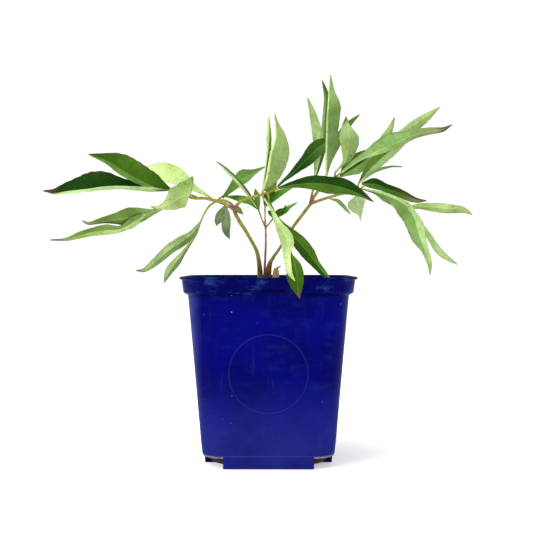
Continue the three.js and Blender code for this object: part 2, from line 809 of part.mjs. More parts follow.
// Stems, as drawn. Each trunk goes straight down from its first point to its seat on the crown.
const stems = {
  stem_left: {
    colour: 'stem',
    trunk: [[-8.2, -22, 6], [-8.3, -14, 6], [-9.2, -3, 6.5], [-11.8, 10, 7.5], [-17.6, 21.3, 9],
      [-23.5, 31.3, 10], [-28.7, 39.2, 11], [-32.8, 46.7, 11.5], [-34.6, 52.5, 12]],
    radii: [3.3, 2.8, 2.1, 1.7, 1.75, 1.9, 1.9],
    branches: [
      {
        path: [[-33.5, 50.5, 12], [-39.7, 55.3, 13], [-49.3, 59.3, 14.5], [-63.1, 62.8, 17.5],
          [-76.8, 63.5, 20.5], [-88, 69, 21]],
        radii: [1.8, 1.3],
      },
      {
        path: [[-34, 51.5, 12], [-31.5, 56.2, 13.5], [-27, 60.3, 15.5], [-18.5, 63.5, 17.5],
          [-6.5, 66.7, 21], [3.5, 70.3, 21]],
        radii: [1.7, 1.2],
      },
      {
        path: [[-33.5, 50.5, 12], [-37, 57, 6], [-43, 60.5, 0], [-50.5, 61.5, -6]],
        radii: [1.4, 1],
      },
    ],
  },
  stem_right: {
    colour: 'stem',
    trunk: [[-0.7, -22, -4], [-0.7, -14, -4], [1.2, -3, -4], [4.8, 3.8, -4.5], [11.3, 13.2, -5.5],
      [18, 24, -7], [25.1, 34.9, -8], [33.5, 46, -9], [42.4, 57.5, -10]],
    radii: [4, 3.3, 1.6, 1.5, 1.6, 1.7, 1.7],
    branches: [
      {
        path: [[41.5, 57.5, -10], [44, 69, -11], [45.5, 75, -12]],
        radii: [1.3, 1],
      },
      {
        path: [[41.5, 57.5, -10], [48, 68, -9], [53.5, 74, -8], [66.5, 83.5, -7]],
        radii: [1.6, 1.2],
      },
      {
        path: [[41.5, 57.5, -10], [61, 64, -9], [72, 67, -8], [82, 69.5, -8], [91.5, 71.5, -8]],
        radii: [1.6, 1.2],
      },
    ],
  },
  stem_centre: {
    colour: 'redStem',
    trunk: [[-3.9, -22, -10], [-3.9, -9, -10], [-2.7, 17, -9], [-2.9, 35, -9]],
    radii: [1.3, 0.95],
    branches: [
      { path: [[-2.9, 33.5, -9], [-6.3, 41.1, -9], [-8.8, 48, -9]], radii: [0.9, 0.8] },
      { path: [[-2.9, 33.5, -9], [-3.4, 43, -9.5], [-3.5, 50, -10]], radii: [0.9, 0.8] },
      { path: [[-2.9, 33.5, -9], [0.4, 37.2, -9.5], [3, 40.6, -10]], radii: [0.9, 0.8] },
    ],
  },
};

// Dry shreds of last year's sheath, standing in the mix beside the stems
const shreds = {
  foot: [6.5, -3.5],
  footRadius: 1.7,
  footZ: [153, 166],
  lobes: [
    {
      rib: [[6.5, -28, 3.5], [5.9, -18, 3.8], [5.7, -12, 4], [6.3, -6.3, 4.2]],
      left: [1.2, 1.5, 1.3],
      right: [1.2, 1.5, 1.2],
      lean: [2, 2],
    },
    {
      rib: [[6.5, -28, 3.5], [7, -16, 5], [7.6, -9, 6], [9.3, -6.5, 7], [12.3, -5, 8]],
      left: [1.2, 1.3, 1],
      right: [1.2, 1.3, 1],
      lean: [1, -1],
    },
    {
      rib: [[6.5, -28, 3.5], [8.9, -18, 2], [9.4, -12, 1.5], [9.1, -6.6, 1]],
      left: [1, 1.3, 1.1],
      right: [1, 1.3, 1.1],
      lean: [-1, -1],
    },
  ],
};

// A point of the way from a to b, a set length on
function onward(a, b, length) {
  return a.clone().addScaledVector(b.clone().sub(a).normalize(), length);
}

// What a stem carries of a leaflet's stalk: a short stub, with the leaflet seated on its end
function stub(leaflet) {
  const [start, next] = leaflet.stalk.map(seen);
  const ends = [onward(start, next, -STUB_ROOT), onward(start, next, STUB_LENGTH)];
  return tube(ends, [STALK_RADIUS, STALK_RADIUS], STALK_SIDES);
}

function leafletBody(leaflet) {
  const [start, next, ...rest] = leaflet.stalk.map(seen);
  const seated = onward(start, next, STUB_LENGTH + SEAT_GAP);
  const stalk = tube([seated, next, ...rest], [STALK_RADIUS, STALK_RADIUS], STALK_SIDES);
  return joined([stalk, ...leaflet.lobes.map(lobe)].map(solid));
}

function trunkPoints(stem) {
  const drawn = evenly(stem.trunk, 2 * stem.trunk.length).map(seen);
  return [drawn[0].clone().setZ(STEM_FOOT_Z), ...drawn];
}

function stemBody(name, stem) {
  const pieces = [tube(trunkPoints(stem), stem.radii, STEM_SIDES)];
  for (const branch of stem.branches) {
    const places = evenly(branch.path, branch.path.length + 2).map(seen);
    pieces.push(tube(places, branch.radii, STALK_SIDES));
  }
  for (const leaflet of Object.values(leaflets)) {
    if (leaflet.stem === name) pieces.push(stub(leaflet));
  }
  return joined(pieces.map(solid));
}

// A level ring of the pot: a square with round corners. lift raises the middle of each side.
function potRing(half, corner, z, lift = 0) {
  const ring = [];
  for (let side = 0; side < 4; side += 1) {
    const turn = (side * Math.PI) / 2;
    const put = (x, y, height) => ring.push(new THREE.Vector3(
      x * Math.cos(turn) - y * Math.sin(turn),
      x * Math.sin(turn) + y * Math.cos(turn),
      height,
    ));
    const outer = BAND_STEP_HALF + BAND_STEP_RAMP;
    put(-outer, -half, z);
    put(-BAND_STEP_HALF, -half, z + lift);
    put(BAND_STEP_HALF, -half, z + lift);
    put(outer, -half, z);
    for (let i = 0; i <= CORNER_STEPS; i += 1) {
      const angle = -Math.PI / 2 + (i / CORNER_STEPS) * (Math.PI / 2);
      const centre = half - corner;
      put(centre + corner * Math.cos(angle), -centre + corner * Math.sin(angle), z);
    }
  }
  return ring;
}

const bodyHalf = (z) => BODY_FOOT_HALF
  + ((BODY_TOP_HALF - BODY_FOOT_HALF) * (z - BODY_FOOT_Z)) / (BODY_TOP_Z - BODY_FOOT_Z);

// Plain raised ring on the sloping front wall
function frontRing() {
  const outline = new THREE.Shape();
  outline.absarc(0, 0, RING_RADIUS, 0, 2 * Math.PI);
  const hole = new THREE.Path();
  hole.absarc(0, 0, RING_RADIUS - RING_WIDTH, 0, 2 * Math.PI);
  outline.holes.push(hole);
  const ring = new THREE.ExtrudeGeometry(outline, {
    depth: RING_HEIGHT + RING_ROOT,
    bevelEnabled: false,
    curveSegments: RING_SEGMENTS,
  });
  ring.translate(0, 0, -RING_ROOT);
  const slope = Math.atan2(BODY_TOP_HALF - BODY_FOOT_HALF, BODY_TOP_Z - BODY_FOOT_Z);
  ring.rotateX(Math.PI / 2 + slope);
  ring.translate(0, -bodyHalf(RING_Z), RING_Z);
  return ring;
}

const potCorner = (half) => FOOT_CORNER
  + ((RIM_CORNER - FOOT_CORNER) * (half - SKIRT_HALF)) / (LIP_HALF - SKIRT_HALF);

function pot() {
  const ring = (half, z, lift) => potRing(half, potCorner(half), z, lift);
  const shell = solid(loft([
    ring(BASE_HALF, 0),
    ring(SKIRT_HALF, SKIRT_TOP_Z),
    ring(CREASE_HALF, CREASE_Z),
    ring(BODY_FOOT_HALF, BODY_FOOT_Z),
    ring(BODY_TOP_HALF, BODY_TOP_Z, BAND_STEP_RISE),
    ring(BAND_FOOT_HALF, BAND_FOOT_Z, BAND_STEP_RISE),
    ring(BAND_TOP_HALF, POT_HEIGHT - LIP_HEIGHT - LIP_UNDERCUT),
    ring(LIP_HALF, POT_HEIGHT - LIP_HEIGHT),
    ring(LIP_HALF, POT_HEIGHT),
    ring(BAND_TOP_HALF - POT_WALL, POT_HEIGHT),
    ring(BAND_FOOT_HALF - POT_WALL, BAND_FOOT_Z + LEDGE_THICKNESS, BAND_STEP_RISE),
    ring(BODY_TOP_HALF - POT_WALL, BODY_TOP_Z + LEDGE_THICKNESS, BAND_STEP_RISE),
    ring(BODY_FOOT_HALF - POT_WALL, BODY_FOOT_Z),
    ring(CREASE_HALF - POT_WALL, CREASE_Z),
    ring(SKIRT_HALF - POT_WALL, SKIRT_TOP_Z),
    ring(BASE_HALF - POT_WALL, FLOOR_THICKNESS),
  ]));
  const notches = [[-1, -1], [1, -1], [-1, 1], [1, 1]].map(([sideX, sideY]) => {
    const notch = new THREE.BoxGeometry(NOTCH_REACH, NOTCH_REACH, NOTCH_HEIGHT + NOTCH_BELOW);
    notch.translate(
      sideX * (NOTCH_FRONT_START + NOTCH_REACH / 2),
      sideY * (NOTCH_SIDE_START + NOTCH_REACH / 2),
      (NOTCH_HEIGHT - NOTCH_BELOW) / 2,
    );
    return solid(notch);
  });
  return notches.reduce((whole, notch) => whole.subtract(notch), shell.add(solid(frontRing())));
}

// The crown, its fleshy roots and the seats of the stems, all grown by the same margin
function crown(margin) {
  const growth = 1 + margin / CROWN_RADIUS;
  const knob = new THREE.SphereGeometry(CROWN_RADIUS, CROWN_SEGMENTS, CROWN_RINGS).rotateX(Math.PI / 2);
  knob.scale(growth, CROWN_DEPTH_SHARE * growth, (CROWN_HALF_HEIGHT + margin) / CROWN_RADIUS);
  knob.translate(0, CROWN_BACK, CROWN_Z);
  const pieces = [solid(knob)];
  for (let i = 0; i < ROOT_COUNT; i += 1) {
    const angle = (2 * Math.PI * i) / ROOT_COUNT + ROOT_TURN;
    const spread = 1 + ROOT_SPREAD_SWING * Math.sin(ROOT_SPREAD_PHASE * i);
    const drop = ROOT_DROP + ROOT_DROP_SWING * Math.sin(ROOT_DROP_PHASE * i + 1);
    const drops = [0, ROOT_SHOULDER_DROP, drop / 2, drop + margin];
    const path = ROOT_REACHES.map((reach, j) => new THREE.Vector3(
      reach * spread * Math.cos(angle),
      CROWN_BACK + reach * spread * Math.sin(angle),
      CROWN_Z - drops[j],
    ));
    pieces.push(solid(tube(path, ROOT_RADII.map((radius) => radius + margin), STALK_SIDES)));
  }
  for (const stem of Object.values(stems)) {
    const [foot] = trunkPoints(stem);
    const seat = [foot.clone().setZ(CROWN_Z), foot.clone().setZ(STEM_FOOT_Z - SEAT_GAP + 2 * margin)];
    const radius = stem.radii[0] + SEAT_MARGIN + margin;
    pieces.push(solid(tube(seat, [radius, radius], STEM_SIDES)));
  }
  return joined(pieces);
}

function soilHeight(x, y) {
  const share = Math.hypot(x, y) / BODY_TOP_HALF;
  const [sideways, depthways, slanting] = SOIL_BUMP_LENGTHS;
  const bumps = Math.sin(x / sideways + 1) * Math.cos(y / depthways) + Math.sin((x + y) / slanting);
  return SOIL_EDGE_Z + SOIL_MOUND * Math.max(0, 1 - share * share) + (SOIL_BUMP * bumps) / 2;
}

function soil() {
  const ring = (half, z) => potRing(half - POT_WALL - WALL_CLEARANCE, potCorner(half), z);
  const rimZ = SOIL_EDGE_Z - SOIL_RIM_DROP;
  const rim = ring(bodyHalf(rimZ), rimZ);
  const shrunk = (share) => rim.map(({ x, y }) => (
    new THREE.Vector3(x * share, y * share, soilHeight(x * share, y * share))));
  const body = solid(loft([
    ring(SKIRT_HALF - SOIL_FOOT_INSET, FLOOR_THICKNESS + CLEARANCE),
    ring(SKIRT_HALF, NOTCH_HEIGHT - 1),
    ring(CREASE_HALF, CREASE_Z),
    ring(BODY_FOOT_HALF, BODY_FOOT_Z),
    rim,
    ...SOIL_RING_SHARES.map(shrunk),
  ]));
  const holes = Object.values(stems).map((stem) => (
    solid(tube(trunkPoints(stem), stem.radii.map((radius) => radius + CLEARANCE), STEM_SIDES))));
  const cuts = [crown(CLEARANCE), ...holes, sheathFoot(CLEARANCE)];
  return cuts.reduce((whole, cut) => whole.subtract(cut), body);
}

function sheathFoot(margin) {
  const [x, y] = shreds.foot;
  const [low, high] = shreds.footZ;
  const radius = shreds.footRadius + margin;
  const ends = [new THREE.Vector3(x, y, low - margin), new THREE.Vector3(x, y, high)];
  return solid(tube(ends, [radius, radius], STALK_SIDES));
}

const group = new THREE.Group();

function addNode(name, body, colour) {
  const mesh = new THREE.Mesh(geometryOf(body), new THREE.MeshStandardMaterial(COLOURS[colour]));
  mesh.name = name;
  group.add(mesh);
}

addNode('pot', pot(), 'pot');
addNode('soil', soil(), 'soil');
addNode('root_crown', crown(0), 'root');
for (const [name, stem] of Object.entries(stems)) addNode(name, stemBody(name, stem), stem.colour);
const sheath = joined([sheathFoot(0), ...shreds.lobes.map((shred) => solid(lobe(shred)))]);
addNode('dry_sheath', sheath, 'straw');
for (const [name, leaflet] of Object.entries(leaflets)) addNode(name, leafletBody(leaflet), leaflet.face);

export default group;
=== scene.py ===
"""A herbaceous peony in leaf, in a square moulded nursery pot, on a plain white floor."""

import math
import random

import bmesh
import bpy
import numpy as np
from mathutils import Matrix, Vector, noise


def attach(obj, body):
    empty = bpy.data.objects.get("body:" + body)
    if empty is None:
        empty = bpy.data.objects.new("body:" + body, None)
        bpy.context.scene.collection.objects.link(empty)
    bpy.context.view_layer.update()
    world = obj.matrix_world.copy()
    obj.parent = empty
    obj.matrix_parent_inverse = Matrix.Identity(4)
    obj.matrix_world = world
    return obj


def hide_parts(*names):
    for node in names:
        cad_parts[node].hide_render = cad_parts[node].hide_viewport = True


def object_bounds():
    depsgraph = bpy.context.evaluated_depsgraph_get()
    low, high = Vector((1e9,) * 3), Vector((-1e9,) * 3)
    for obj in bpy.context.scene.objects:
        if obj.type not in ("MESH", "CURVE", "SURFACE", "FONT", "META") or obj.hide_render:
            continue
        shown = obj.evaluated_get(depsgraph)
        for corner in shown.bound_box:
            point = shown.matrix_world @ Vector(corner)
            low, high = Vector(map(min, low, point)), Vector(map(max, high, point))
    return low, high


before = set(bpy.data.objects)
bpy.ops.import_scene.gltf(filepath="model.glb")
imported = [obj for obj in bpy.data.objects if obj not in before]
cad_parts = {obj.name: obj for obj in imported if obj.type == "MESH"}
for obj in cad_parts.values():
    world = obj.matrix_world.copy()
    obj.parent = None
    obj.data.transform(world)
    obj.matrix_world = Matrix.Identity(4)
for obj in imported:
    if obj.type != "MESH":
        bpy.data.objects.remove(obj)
CAD_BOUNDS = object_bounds()

MM = 0.001

# The eye that the leaves are laid out for, in millimetres
EYE_HEIGHT = 192
EYE_DISTANCE = 982
DRAWING_DISTANCE = 1000

# The photograph's frame, in pixels: its side, and where the pot's axis and eye level cross it
FRAME_SIDE = 533
AXIS_ACROSS = 268.5
EYE_LEVEL_DOWN = 261.2
SENSOR = 36

# Lights: name, place, target, size and power, in metres and watts
LIGHTS = (
    ("key", (-0.75, -0.9, 1.25), (0, 0, 0.2), 0.9, 11.5),
    ("top", (0.15, 0.1, 1.5), (0, 0, 0.2), 1.4, 8.5),
    ("fill", (1.1, -0.7, 0.7), (0, 0, 0.15), 1.0, 3),
)
SKY_LIGHT = 0.46
SKY_SEEN = 1.05
FLOOR_HALF = 4.0
FLOOR_BELOW = 0.0002
# Where the floor's glow is dimmest: a painted shadow right of and behind the pot (metres)
SHADOW_CENTRE = (0.06, 0.03, 0)

# Pot, as in the solids
POT_HEIGHT = 177.5
POT_WALL = 1.5
FLOOR_THICKNESS = 2
LIP_HALF = 82.5
LIP_HEIGHT = 2
BAND_TOP_HALF = 80.5
BAND_FOOT_HALF = 79
BAND_FOOT_Z = 163
BODY_TOP_HALF = 75
BODY_TOP_Z = 160.5
BODY_FOOT_HALF = 63.5
BODY_FOOT_Z = 23
CREASE_HALF = 62.2
CREASE_Z = 12
SKIRT_HALF = 61
RIM_CORNER = 28
FOOT_CORNER = 22
BAND_STEP_RISE = 3.2
BAND_STEP_HALF = 21
BAND_STEP_RAMP = 6
NOTCH_FRONT_START = 42
NOTCH_SIDE_START = 27
NOTCH_HEIGHT = 10
NOTCH_REACH = 40
NOTCH_BELOW = 4
RING_RADIUS = 37
RING_WIDTH = 1.6
RING_HEIGHT = 0.7
RING_Z = 89
RING_STEPS = 120

# Potting mix and its bark chips
SOIL_EDGE_Z = 157
SOIL_MOUND = 4
SOIL_BUMP = 0.8
SOIL_CLEARANCE = 0.8
CRUMB = 0.9
CHIP_TRIES = 900
CHIP_FIELD = 70
CHIP_SIDES = 7
CHIP_LEVELS = ((-0.5, 0.7), (-0.15, 1.0), (0.2, 0.9), (0.45, 0.5))

# Stems and stalks
STEM_FOOT_Z = 150
STEM_VOXEL = 0.4
STALK_RADIUS = 1
STALK_TAPER = 0.75
STALK_RINGS = 10
STALK_SIDES = 12
STALK_FLUSH = 0.15
STUB_LENGTH = 2.6
STUB_ROOT = 1

# Blades
CURVE_STEPS = 240
TIP_HALF_WIDTH = 0.45
BASE_HALF_WIDTH = 1
WAVE_DEPTH = 0.9
WAVES_A_BLADE = 2.5
RIGHT_WAVE_PHASE = 1.8
RIPPLE_SPACING = 9
RIPPLE_DEPTH = 0.25
RIPPLE_WIDTH = 0.015
RIGHT_RIPPLE_PHASE = 2.4
LOBE_PHASE = 0.37
SHRED_PHASE = 0.4
BLADE_THICKNESS = 0.42
MARGIN_THICKNESS = 0.2
STATION_SPACING = 1.5
FEWEST_ROWS = 16
COLUMNS = (0, 0.04, 0.1, 0.18, 0.3, 0.44, 0.58, 0.72, 0.86, 0.95, 1)
VEIN_SPACING = 5.5
VEIN_SLANT = 1.25
FINE_VEINS = 4.0
QUILTING = 0.2
QUILT_FADE = 3
RIB_RIDGE = 0.55
RIB_GROOVE = 0.25
RIB_HALF_TIP = 0.22
RIB_HALF_GAIN = 0.6
FULL_RIB_WIDTH = 8
CORE_HALF_TIP = 0.45
CORE_HALF_GAIN = 0.5
RIDGE_AT_TIP = 0.15
HALVES_BLEND = 0.16

# The share and colour sockets of a colour mix node
MIX_INPUTS = (0, 6, 7)
MIX_OUTPUT = 2

# Grainy surfaces: noise scale and detail, where the grain turns, its two colours, bump distance and
# strength, roughness and specular level, and the colour of patches
GRAINY = {
    "potting_mix": (
        260, 6, (0.35, 0.65), ((26, 18, 13), (62, 45, 32)), (0.0015, 0.9), (0.95, 0.2), (96, 72, 50),
    ),
    "bark_chip": (320, 5, (0.3, 0.7), ((58, 38, 26), (118, 84, 58)), (0.001, 0.8), (0.85, 0.25)),
    "dry_straw": (300, 5, (0.25, 0.6), ((172, 118, 66), (244, 204, 138)), (0.0004, 0.6), (0.8, 0.3)),
    "root_skin": (180, 5, (0.3, 0.7), ((96, 66, 42), (146, 108, 74)), (0.0008, 0.6), (0.85, 0.25)),
}


def lobes(*rows):
    """Lobes, each from its midrib, its half widths to the left and right, and how its margins lean."""
    return [dict(zip(("rib", "left", "right", "lean"), row)) for row in rows]


# Leaflets, as drawn: the stem, the face toward the eye, the stalk, then the lobes. Stalks and midribs are
# [across, rise, toward], half widths are to the left and right seen along the midrib, and the last pair is
# how far each margin leans toward the eye
LEAFLETS = {
    "leaflet_left_end": {"stem": "stem_left", "face": "upper", "stalk": [[-88, 69, 21], [-98, 71, 22]],
     "lobes": lobes(
        ([[-97, 71, 22], [-114.5, 74, 27], [-135, 84, 34], [-148.5, 92, 40], [-160.5, 99.5, 45],
         [-180, 107, 50]], [3, 4, 4.8, 2.8], [12, 15, 16.3, 15, 7], [5, -9]),
        ([[-97, 71, 22], [-116.5, 70, 25.5], [-132.5, 71.2, 29], [-148.5, 72.4, 32], [-164.5, 71.7, 35],
         [-180.5, 69.6, 38.5], [-198.5, 68, 42], [-213.5, 67, 44], [-225.5, 70.5, 45]],
         [-4, -3.5, -3, -3, -2.8, -2], [8, 9, 10.5, 17.6, 19, 14, 8], [12, -14]),
    )},
    "leaflet_left_top": {"stem": "stem_left", "face": "under", "stalk": [[-55, 61, 15], [-60, 65, 9]],
     "lobes": lobes(
        ([[-60, 65, 9], [-73.5, 75, 0], [-88.5, 87, -14], [-103.5, 93, -27], [-121.5, 95.5, -40]], [6, 12, 12],
         [1.5, 5, 5.5], [-8, 5]),
    )},
    "leaflet_left_twisted": {"stem": "stem_left", "face": "under", "stalk": [[-73, 64.5, 20], [-79, 67, 31]],
     "lobes": lobes(
        ([[-79, 67, 31], [-87.5, 64, 35], [-95.5, 59.5, 38], [-103.5, 56, 41], [-110.5, 54, 43],
         [-118, 54.5, 44]], [10, 9, 6, 2.8], [12, 12, 5.2, 1.8], [-4, 3]),
        ([[-79, 67, 31], [-78, 75, 36], [-76, 85, 38]], [14, 12, 5.5], [2, 2, 2], [2, -3]),
    )},
    "leaflet_left_low": {"stem": "stem_left", "face": "under", "stalk": [[-80, 64, 21], [-92, 57, 26],
     [-106, 53, 31]], "lobes": lobes(
        ([[-105, 53, 31], [-122.5, 47.5, 34], [-138.5, 44, 36], [-156.5, 41, 38], [-171.5, 39, 39],
         [-180.5, 37.7, 39.5], [-186.2, 40.7, 40]], [3.5, 7, 9, 5, 2.2, 1.8], [3, 7.4, 9.8, 7, 4.9, 2.2],
         [-8, 6]),
        ([[-122.5, 48, 34], [-134.5, 39.5, 34], [-148.5, 32.5, 34], [-163.5, 31, 35], [-176.5, 29.2, 36],
         [-188.5, 26, 37], [-202.5, 21.8, 38.5], [-218.5, 21.2, 40]], [4.7, 3.6, 4.6, 4.2, 3, 1.4],
         [5, 3, 5.6, 4.3, 3.4, 1.4], [-3, 6]),
    )},
    "leaflet_left_hanging": {"stem": "stem_left", "face": "under", "stalk": [[-54, 59, 15], [-59.5, 55, 18],
     [-64.5, 47, 24], [-68.5, 38, 30]], "lobes": lobes(
        ([[-68.3, 39, 29], [-77, 27, 39], [-87.5, 19.5, 46], [-98, 12.5, 52], [-108, 4, 58],
         [-117.5, -4, 63.5], [-125, -9, 67], [-132.5, -9.3, 70]], [3, 5.3, 4.8, 4.6, 3.2],
         [3.2, 5.2, 5.6, 4.5, 2.9], [-5, 3]),
        ([[-68.3, 39, 29], [-73, 27, 34], [-78, 18, 37], [-84.9, 8.5, 39], [-91, 1, 40], [-97, -7, 40],
         [-101, -14, 40], [-104.3, -21.5, 40]], [1.5, 1.2, 2.2, 4.3, 3.2], [2, 1.7, 2.3, 3.8, 4.4], [-4, 2]),
    )},
    "leaflet_rear_hanging": {"stem": "stem_left", "face": "under", "stalk": [[-43, 60.5, 0], [-43, 55, -5]],
     "lobes": lobes(
        ([[-43, 55.5, -5], [-46.5, 49, -12], [-51, 41, -20], [-52, 35.5, -28]], [4, 5, 4], [3.3, 4.2, 2.6],
         [-3, 3]),
        ([[-43, 55.5, -5], [-42, 43, -18], [-42, 31, -32], [-39, 22.5, -42]], [3.5, 4.3, 3.5], [4, 5, 4],
         [3, -3]),
        ([[-43, 55.5, -5], [-32, 52.5, -14], [-25.5, 47, -22]], [2, 3], [2, 3], [-2, 2]),
    )},
    "leaflet_rear_top": {"stem": "stem_left", "face": "upper", "stalk": [[-50.5, 61.5, -6], [-46, 65, -13]],
     "lobes": lobes(
        ([[-46, 63.5, -12], [-37.5, 71.5, -26], [-28.5, 80.5, -44], [-18, 87, -62], [-3.5, 94.5, -80]],
         [3.7, 6.4, 8.5, 3.1], [2.6, 4.6, 5.4, 2.5], [-8, 8]),
    )},
    "leaflet_centre_left": {"stem": "stem_centre", "face": "upper", "stalk": [[-8.8, 48, -9], [-10.5, 53, -9]],
     "lobes": lobes(
        ([[-10, 52, -9], [-15.5, 60.5, -6], [-24, 72.5, -4], [-33.5, 83.5, -4], [-44.5, 94, -5],
         [-52, 99.5, -5]], [1.5, 2.2, 2.5, 2], [1.5, 2, 2, 1.5], [-7, 7]),
        ([[-10, 52, -9], [-19.5, 59, -18], [-29.5, 62.8, -28], [-38.5, 64.5, -35], [-46.5, 65.2, -42]],
         [2, 3.4, 2], [4.5, 3.7, 1.5], [4, -5]),
        ([[-10, 52, -9], [-11.5, 64, -17], [-13.5, 72.5, -22]], [2.5, 3], [2.5, 3], [2, -2]),
    )},
    "leaflet_centre_middle": {"stem": "stem_centre", "face": "upper", "stalk": [[-3.5, 50, -10],
     [-3.5, 56, -12]], "lobes": lobes(
        ([[-3.5, 55, -12], [4, 61, -19], [12.5, 67.5, -29], [24, 73.5, -40]], [4, 5, 3], [2, 2.3, 1.5],
         [-5, 4]),
        ([[-3.5, 55, -12], [-0.5, 64, -19], [4.5, 74, -24], [7.5, 80, -28]], [4, 4.5, 3], [4, 4.5, 3], [-2, 2]),
    )},
    "leaflet_centre_right": {"stem": "stem_centre", "face": "upper", "stalk": [[3, 40.6, -10], [5.5, 44, -11]],
     "lobes": lobes(
        ([[5, 43.5, -11], [9, 48, -14], [15.5, 52, -18], [17.5, 56, -20]], [2.5, 3, 1.5], [2.5, 3, 1.5],
         [-3, 3]),
        ([[5, 43.5, -11], [14.5, 49.5, -19], [21.5, 54.5, -23], [28.5, 58.5, -27]], [2.5, 3, 1.5],
         [2.5, 3, 1.5], [-3, 3]),
        ([[5, 43.5, -11], [2.5, 47.5, -14], [-0.5, 50.5, -18]], [2, 2], [2, 2], [-2, 2]),
    )},
    "leaflet_mid_upright": {"stem": "stem_left", "face": "under", "stalk": [[-6.5, 66.5, 21], [-5, 74, 22]],
     "lobes": lobes(
        ([[-5.5, 71, 22], [-1.2, 84, 23.5], [1.3, 98, 26.5], [2.8, 108, 28.5], [5.4, 116.7, 30],
         [7.2, 125.3, 31.5], [7.2, 134, 33], [5.9, 148, 35]], [1.5, 1.5, 1.2, 0.7, 0.5],
         [10, 15, 17.6, 16.9, 10.5, 3.8], [2, -12]),
        ([[-5.5, 72, 22], [-3, 91, 17], [-0.5, 111, 14], [0.5, 126, 12], [0, 145, 11]], [0.8, 1.4, 2.4],
         [2, 3, 2.3], [-3, -4]),
        ([[-5, 71, 22], [0.5, 74.5, 15], [5, 78, 8], [8.5, 81.5, 3]], [3, 4], [4.5, 4.5], [-2, 2]),
    )},
    "leaflet_mid_rising": {"stem": "stem_left", "face": "upper", "stalk": [[3.5, 70, 20], [10, 75.5, 18]],
     "lobes": lobes(
        ([[9, 74.5, 18], [15, 80.7, 16], [22, 86.3, 13.5], [30.8, 94.6, 9], [40.8, 104.4, 3],
         [48.1, 112.2, -3], [55, 117, -8], [64.5, 120.5, -13]], [1.3, 2.7, 4.2, 5.5, 7.6, 8, 5.8],
         [1.8, 2.7, 4.3, 6.5, 7.2, 7.5, 8], [-5, 5]),
    )},
    "leaflet_mid_long": {"stem": "stem_left", "face": "upper", "stalk": [[3.5, 70, 22], [11, 73, 26]],
     "lobes": lobes(
        ([[10, 73, 26], [21.5, 75.5, 30], [36.5, 77.5, 34], [53.5, 77.5, 38], [71.5, 74, 43], [87.5, 68.5, 48],
         [105, 59.5, 53]], [4.4, 7.7, 8.1, 9.5, 5.5], [2.8, 6, 9.1, 6.3, 2.6], [-6, 10]),
    )},
    "leaflet_front_pale": {"stem": "stem_left", "face": "under", "stalk": [[-6.5, 66, 22], [-5, 62, 29]],
     "lobes": lobes(
        ([[-4.5, 62.5, 28], [2.3, 53, 37], [6.8, 44, 46], [11.4, 34.5, 55], [16.3, 26, 62], [18.5, 18, 69],
         [18.3, 8, 77], [19.4, -2, 85], [20.9, -11, 92], [26.5, -19.8, 96]],
         [1.2, 2.2, 3.8, 6.2, 7.2, 4.4, 3.3, 3.1], [1.2, 2.2, 3.8, 5.8, 6.4, 4.2, 3.3, 3], [-4, 2]),
        ([[16.3, 26, 62], [20.5, 14, 69], [24.5, 3, 77], [27.2, -7, 84], [28.5, -17, 88.5], [29.5, -27, 90.5],
         [31, -37, 92]], [2, 0.9, 5.4, 7.1, 5.2], [3, 4, 7, 10.3, 7], [-3, -1]),
    )},
    "leaflet_front_dark": {"stem": "stem_left", "face": "upper", "stalk": [[-1, 68.5, 22], [1, 60, 24]],
     "lobes": lobes(
        ([[0.5, 61, 24], [4, 52, 29], [7.5, 44, 33], [13.5, 35.5, 38], [22, 27.5, 43.5], [31.2, 18.8, 49],
         [40.1, 7.7, 55], [47.1, -1.7, 60], [55.9, -12.5, 65], [63.5, -20, 68]],
         [1.5, 2.9, 4.5, 6, 6.9, 6.5, 3.7, 3], [1.5, 2.9, 4.5, 6.5, 7.2, 7, 5, 3.5], [-6, 3]),
    )},
    "leaflet_right_tall": {"stem": "stem_right", "face": "under", "stalk": [[53.5, 74, -8], [57, 84.5, 0]],
     "lobes": lobes(
        ([[57.5, 84, -1], [58, 104, 3], [58.5, 122, 5], [59.5, 150, 8], [60.5, 166, 9], [62, 186.5, 10]],
         [0.8, 1.3, 1.1, 1.2, 0.7, 0.8], [4, 11.5, 10.8, 12, 12.2, 5], [2, -8]),
        ([[57.5, 84, -1], [61, 98, -8], [65.5, 112.5, -15], [72.5, 125.5, -21], [81.5, 137.5, -26],
         [91, 146.5, -30]], [2, 4, 4.5, 3.6], [1.6, 4, 4.5, 2.5], [-4, 3]),
    )},
    "leaflet_right_tall_rear": {"stem": "stem_right", "face": "upper", "stalk": [[45.5, 75, -12],
     [47, 84, -17]], "lobes": lobes(
        ([[47, 84, -16], [50.5, 97.5, -20], [53, 109, -23], [54.5, 123, -26], [55.5, 137, -28],
         [56.8, 153, -28], [57, 166, -28], [53.7, 180.8, -28]], [3.4, 3.5, 2.5, 2.2, 2, 1.6],
         [2.5, 3.5, 3.5, 3, 2.8, 3.2], [4, -4]),
        ([[47, 84, -16], [48, 101, -32], [48.8, 121, -42], [47.3, 136, -50], [44, 150, -56], [39, 163.5, -62]],
         [2.5, 4, 4.8, 4], [2.5, 4.5, 5, 3], [3, -5]),
    )},
    "leaflet_right_upright": {"stem": "stem_right", "face": "under", "stalk": [[66, 83.5, -6], [67, 90, 1]],
     "lobes": lobes(
        ([[66.5, 88.5, 0], [72.5, 95, 5], [77, 101, 9], [79.2, 111, 12], [80.5, 121, 15], [80, 131, 17.5],
         [77.5, 144.6, 20]], [1.3, 3.8, 7.2, 9.5, 7], [1.3, 5.7, 9.2, 9.7, 3], [5, -6]),
    )},
    "leaflet_right_long": {"stem": "stem_right", "face": "under", "stalk": [[67, 84, -6], [73, 89, 4]],
     "lobes": lobes(
        ([[72.5, 88.5, 3], [81.5, 95, 9], [90.5, 101, 15], [102.5, 107, 21], [117.5, 114, 29],
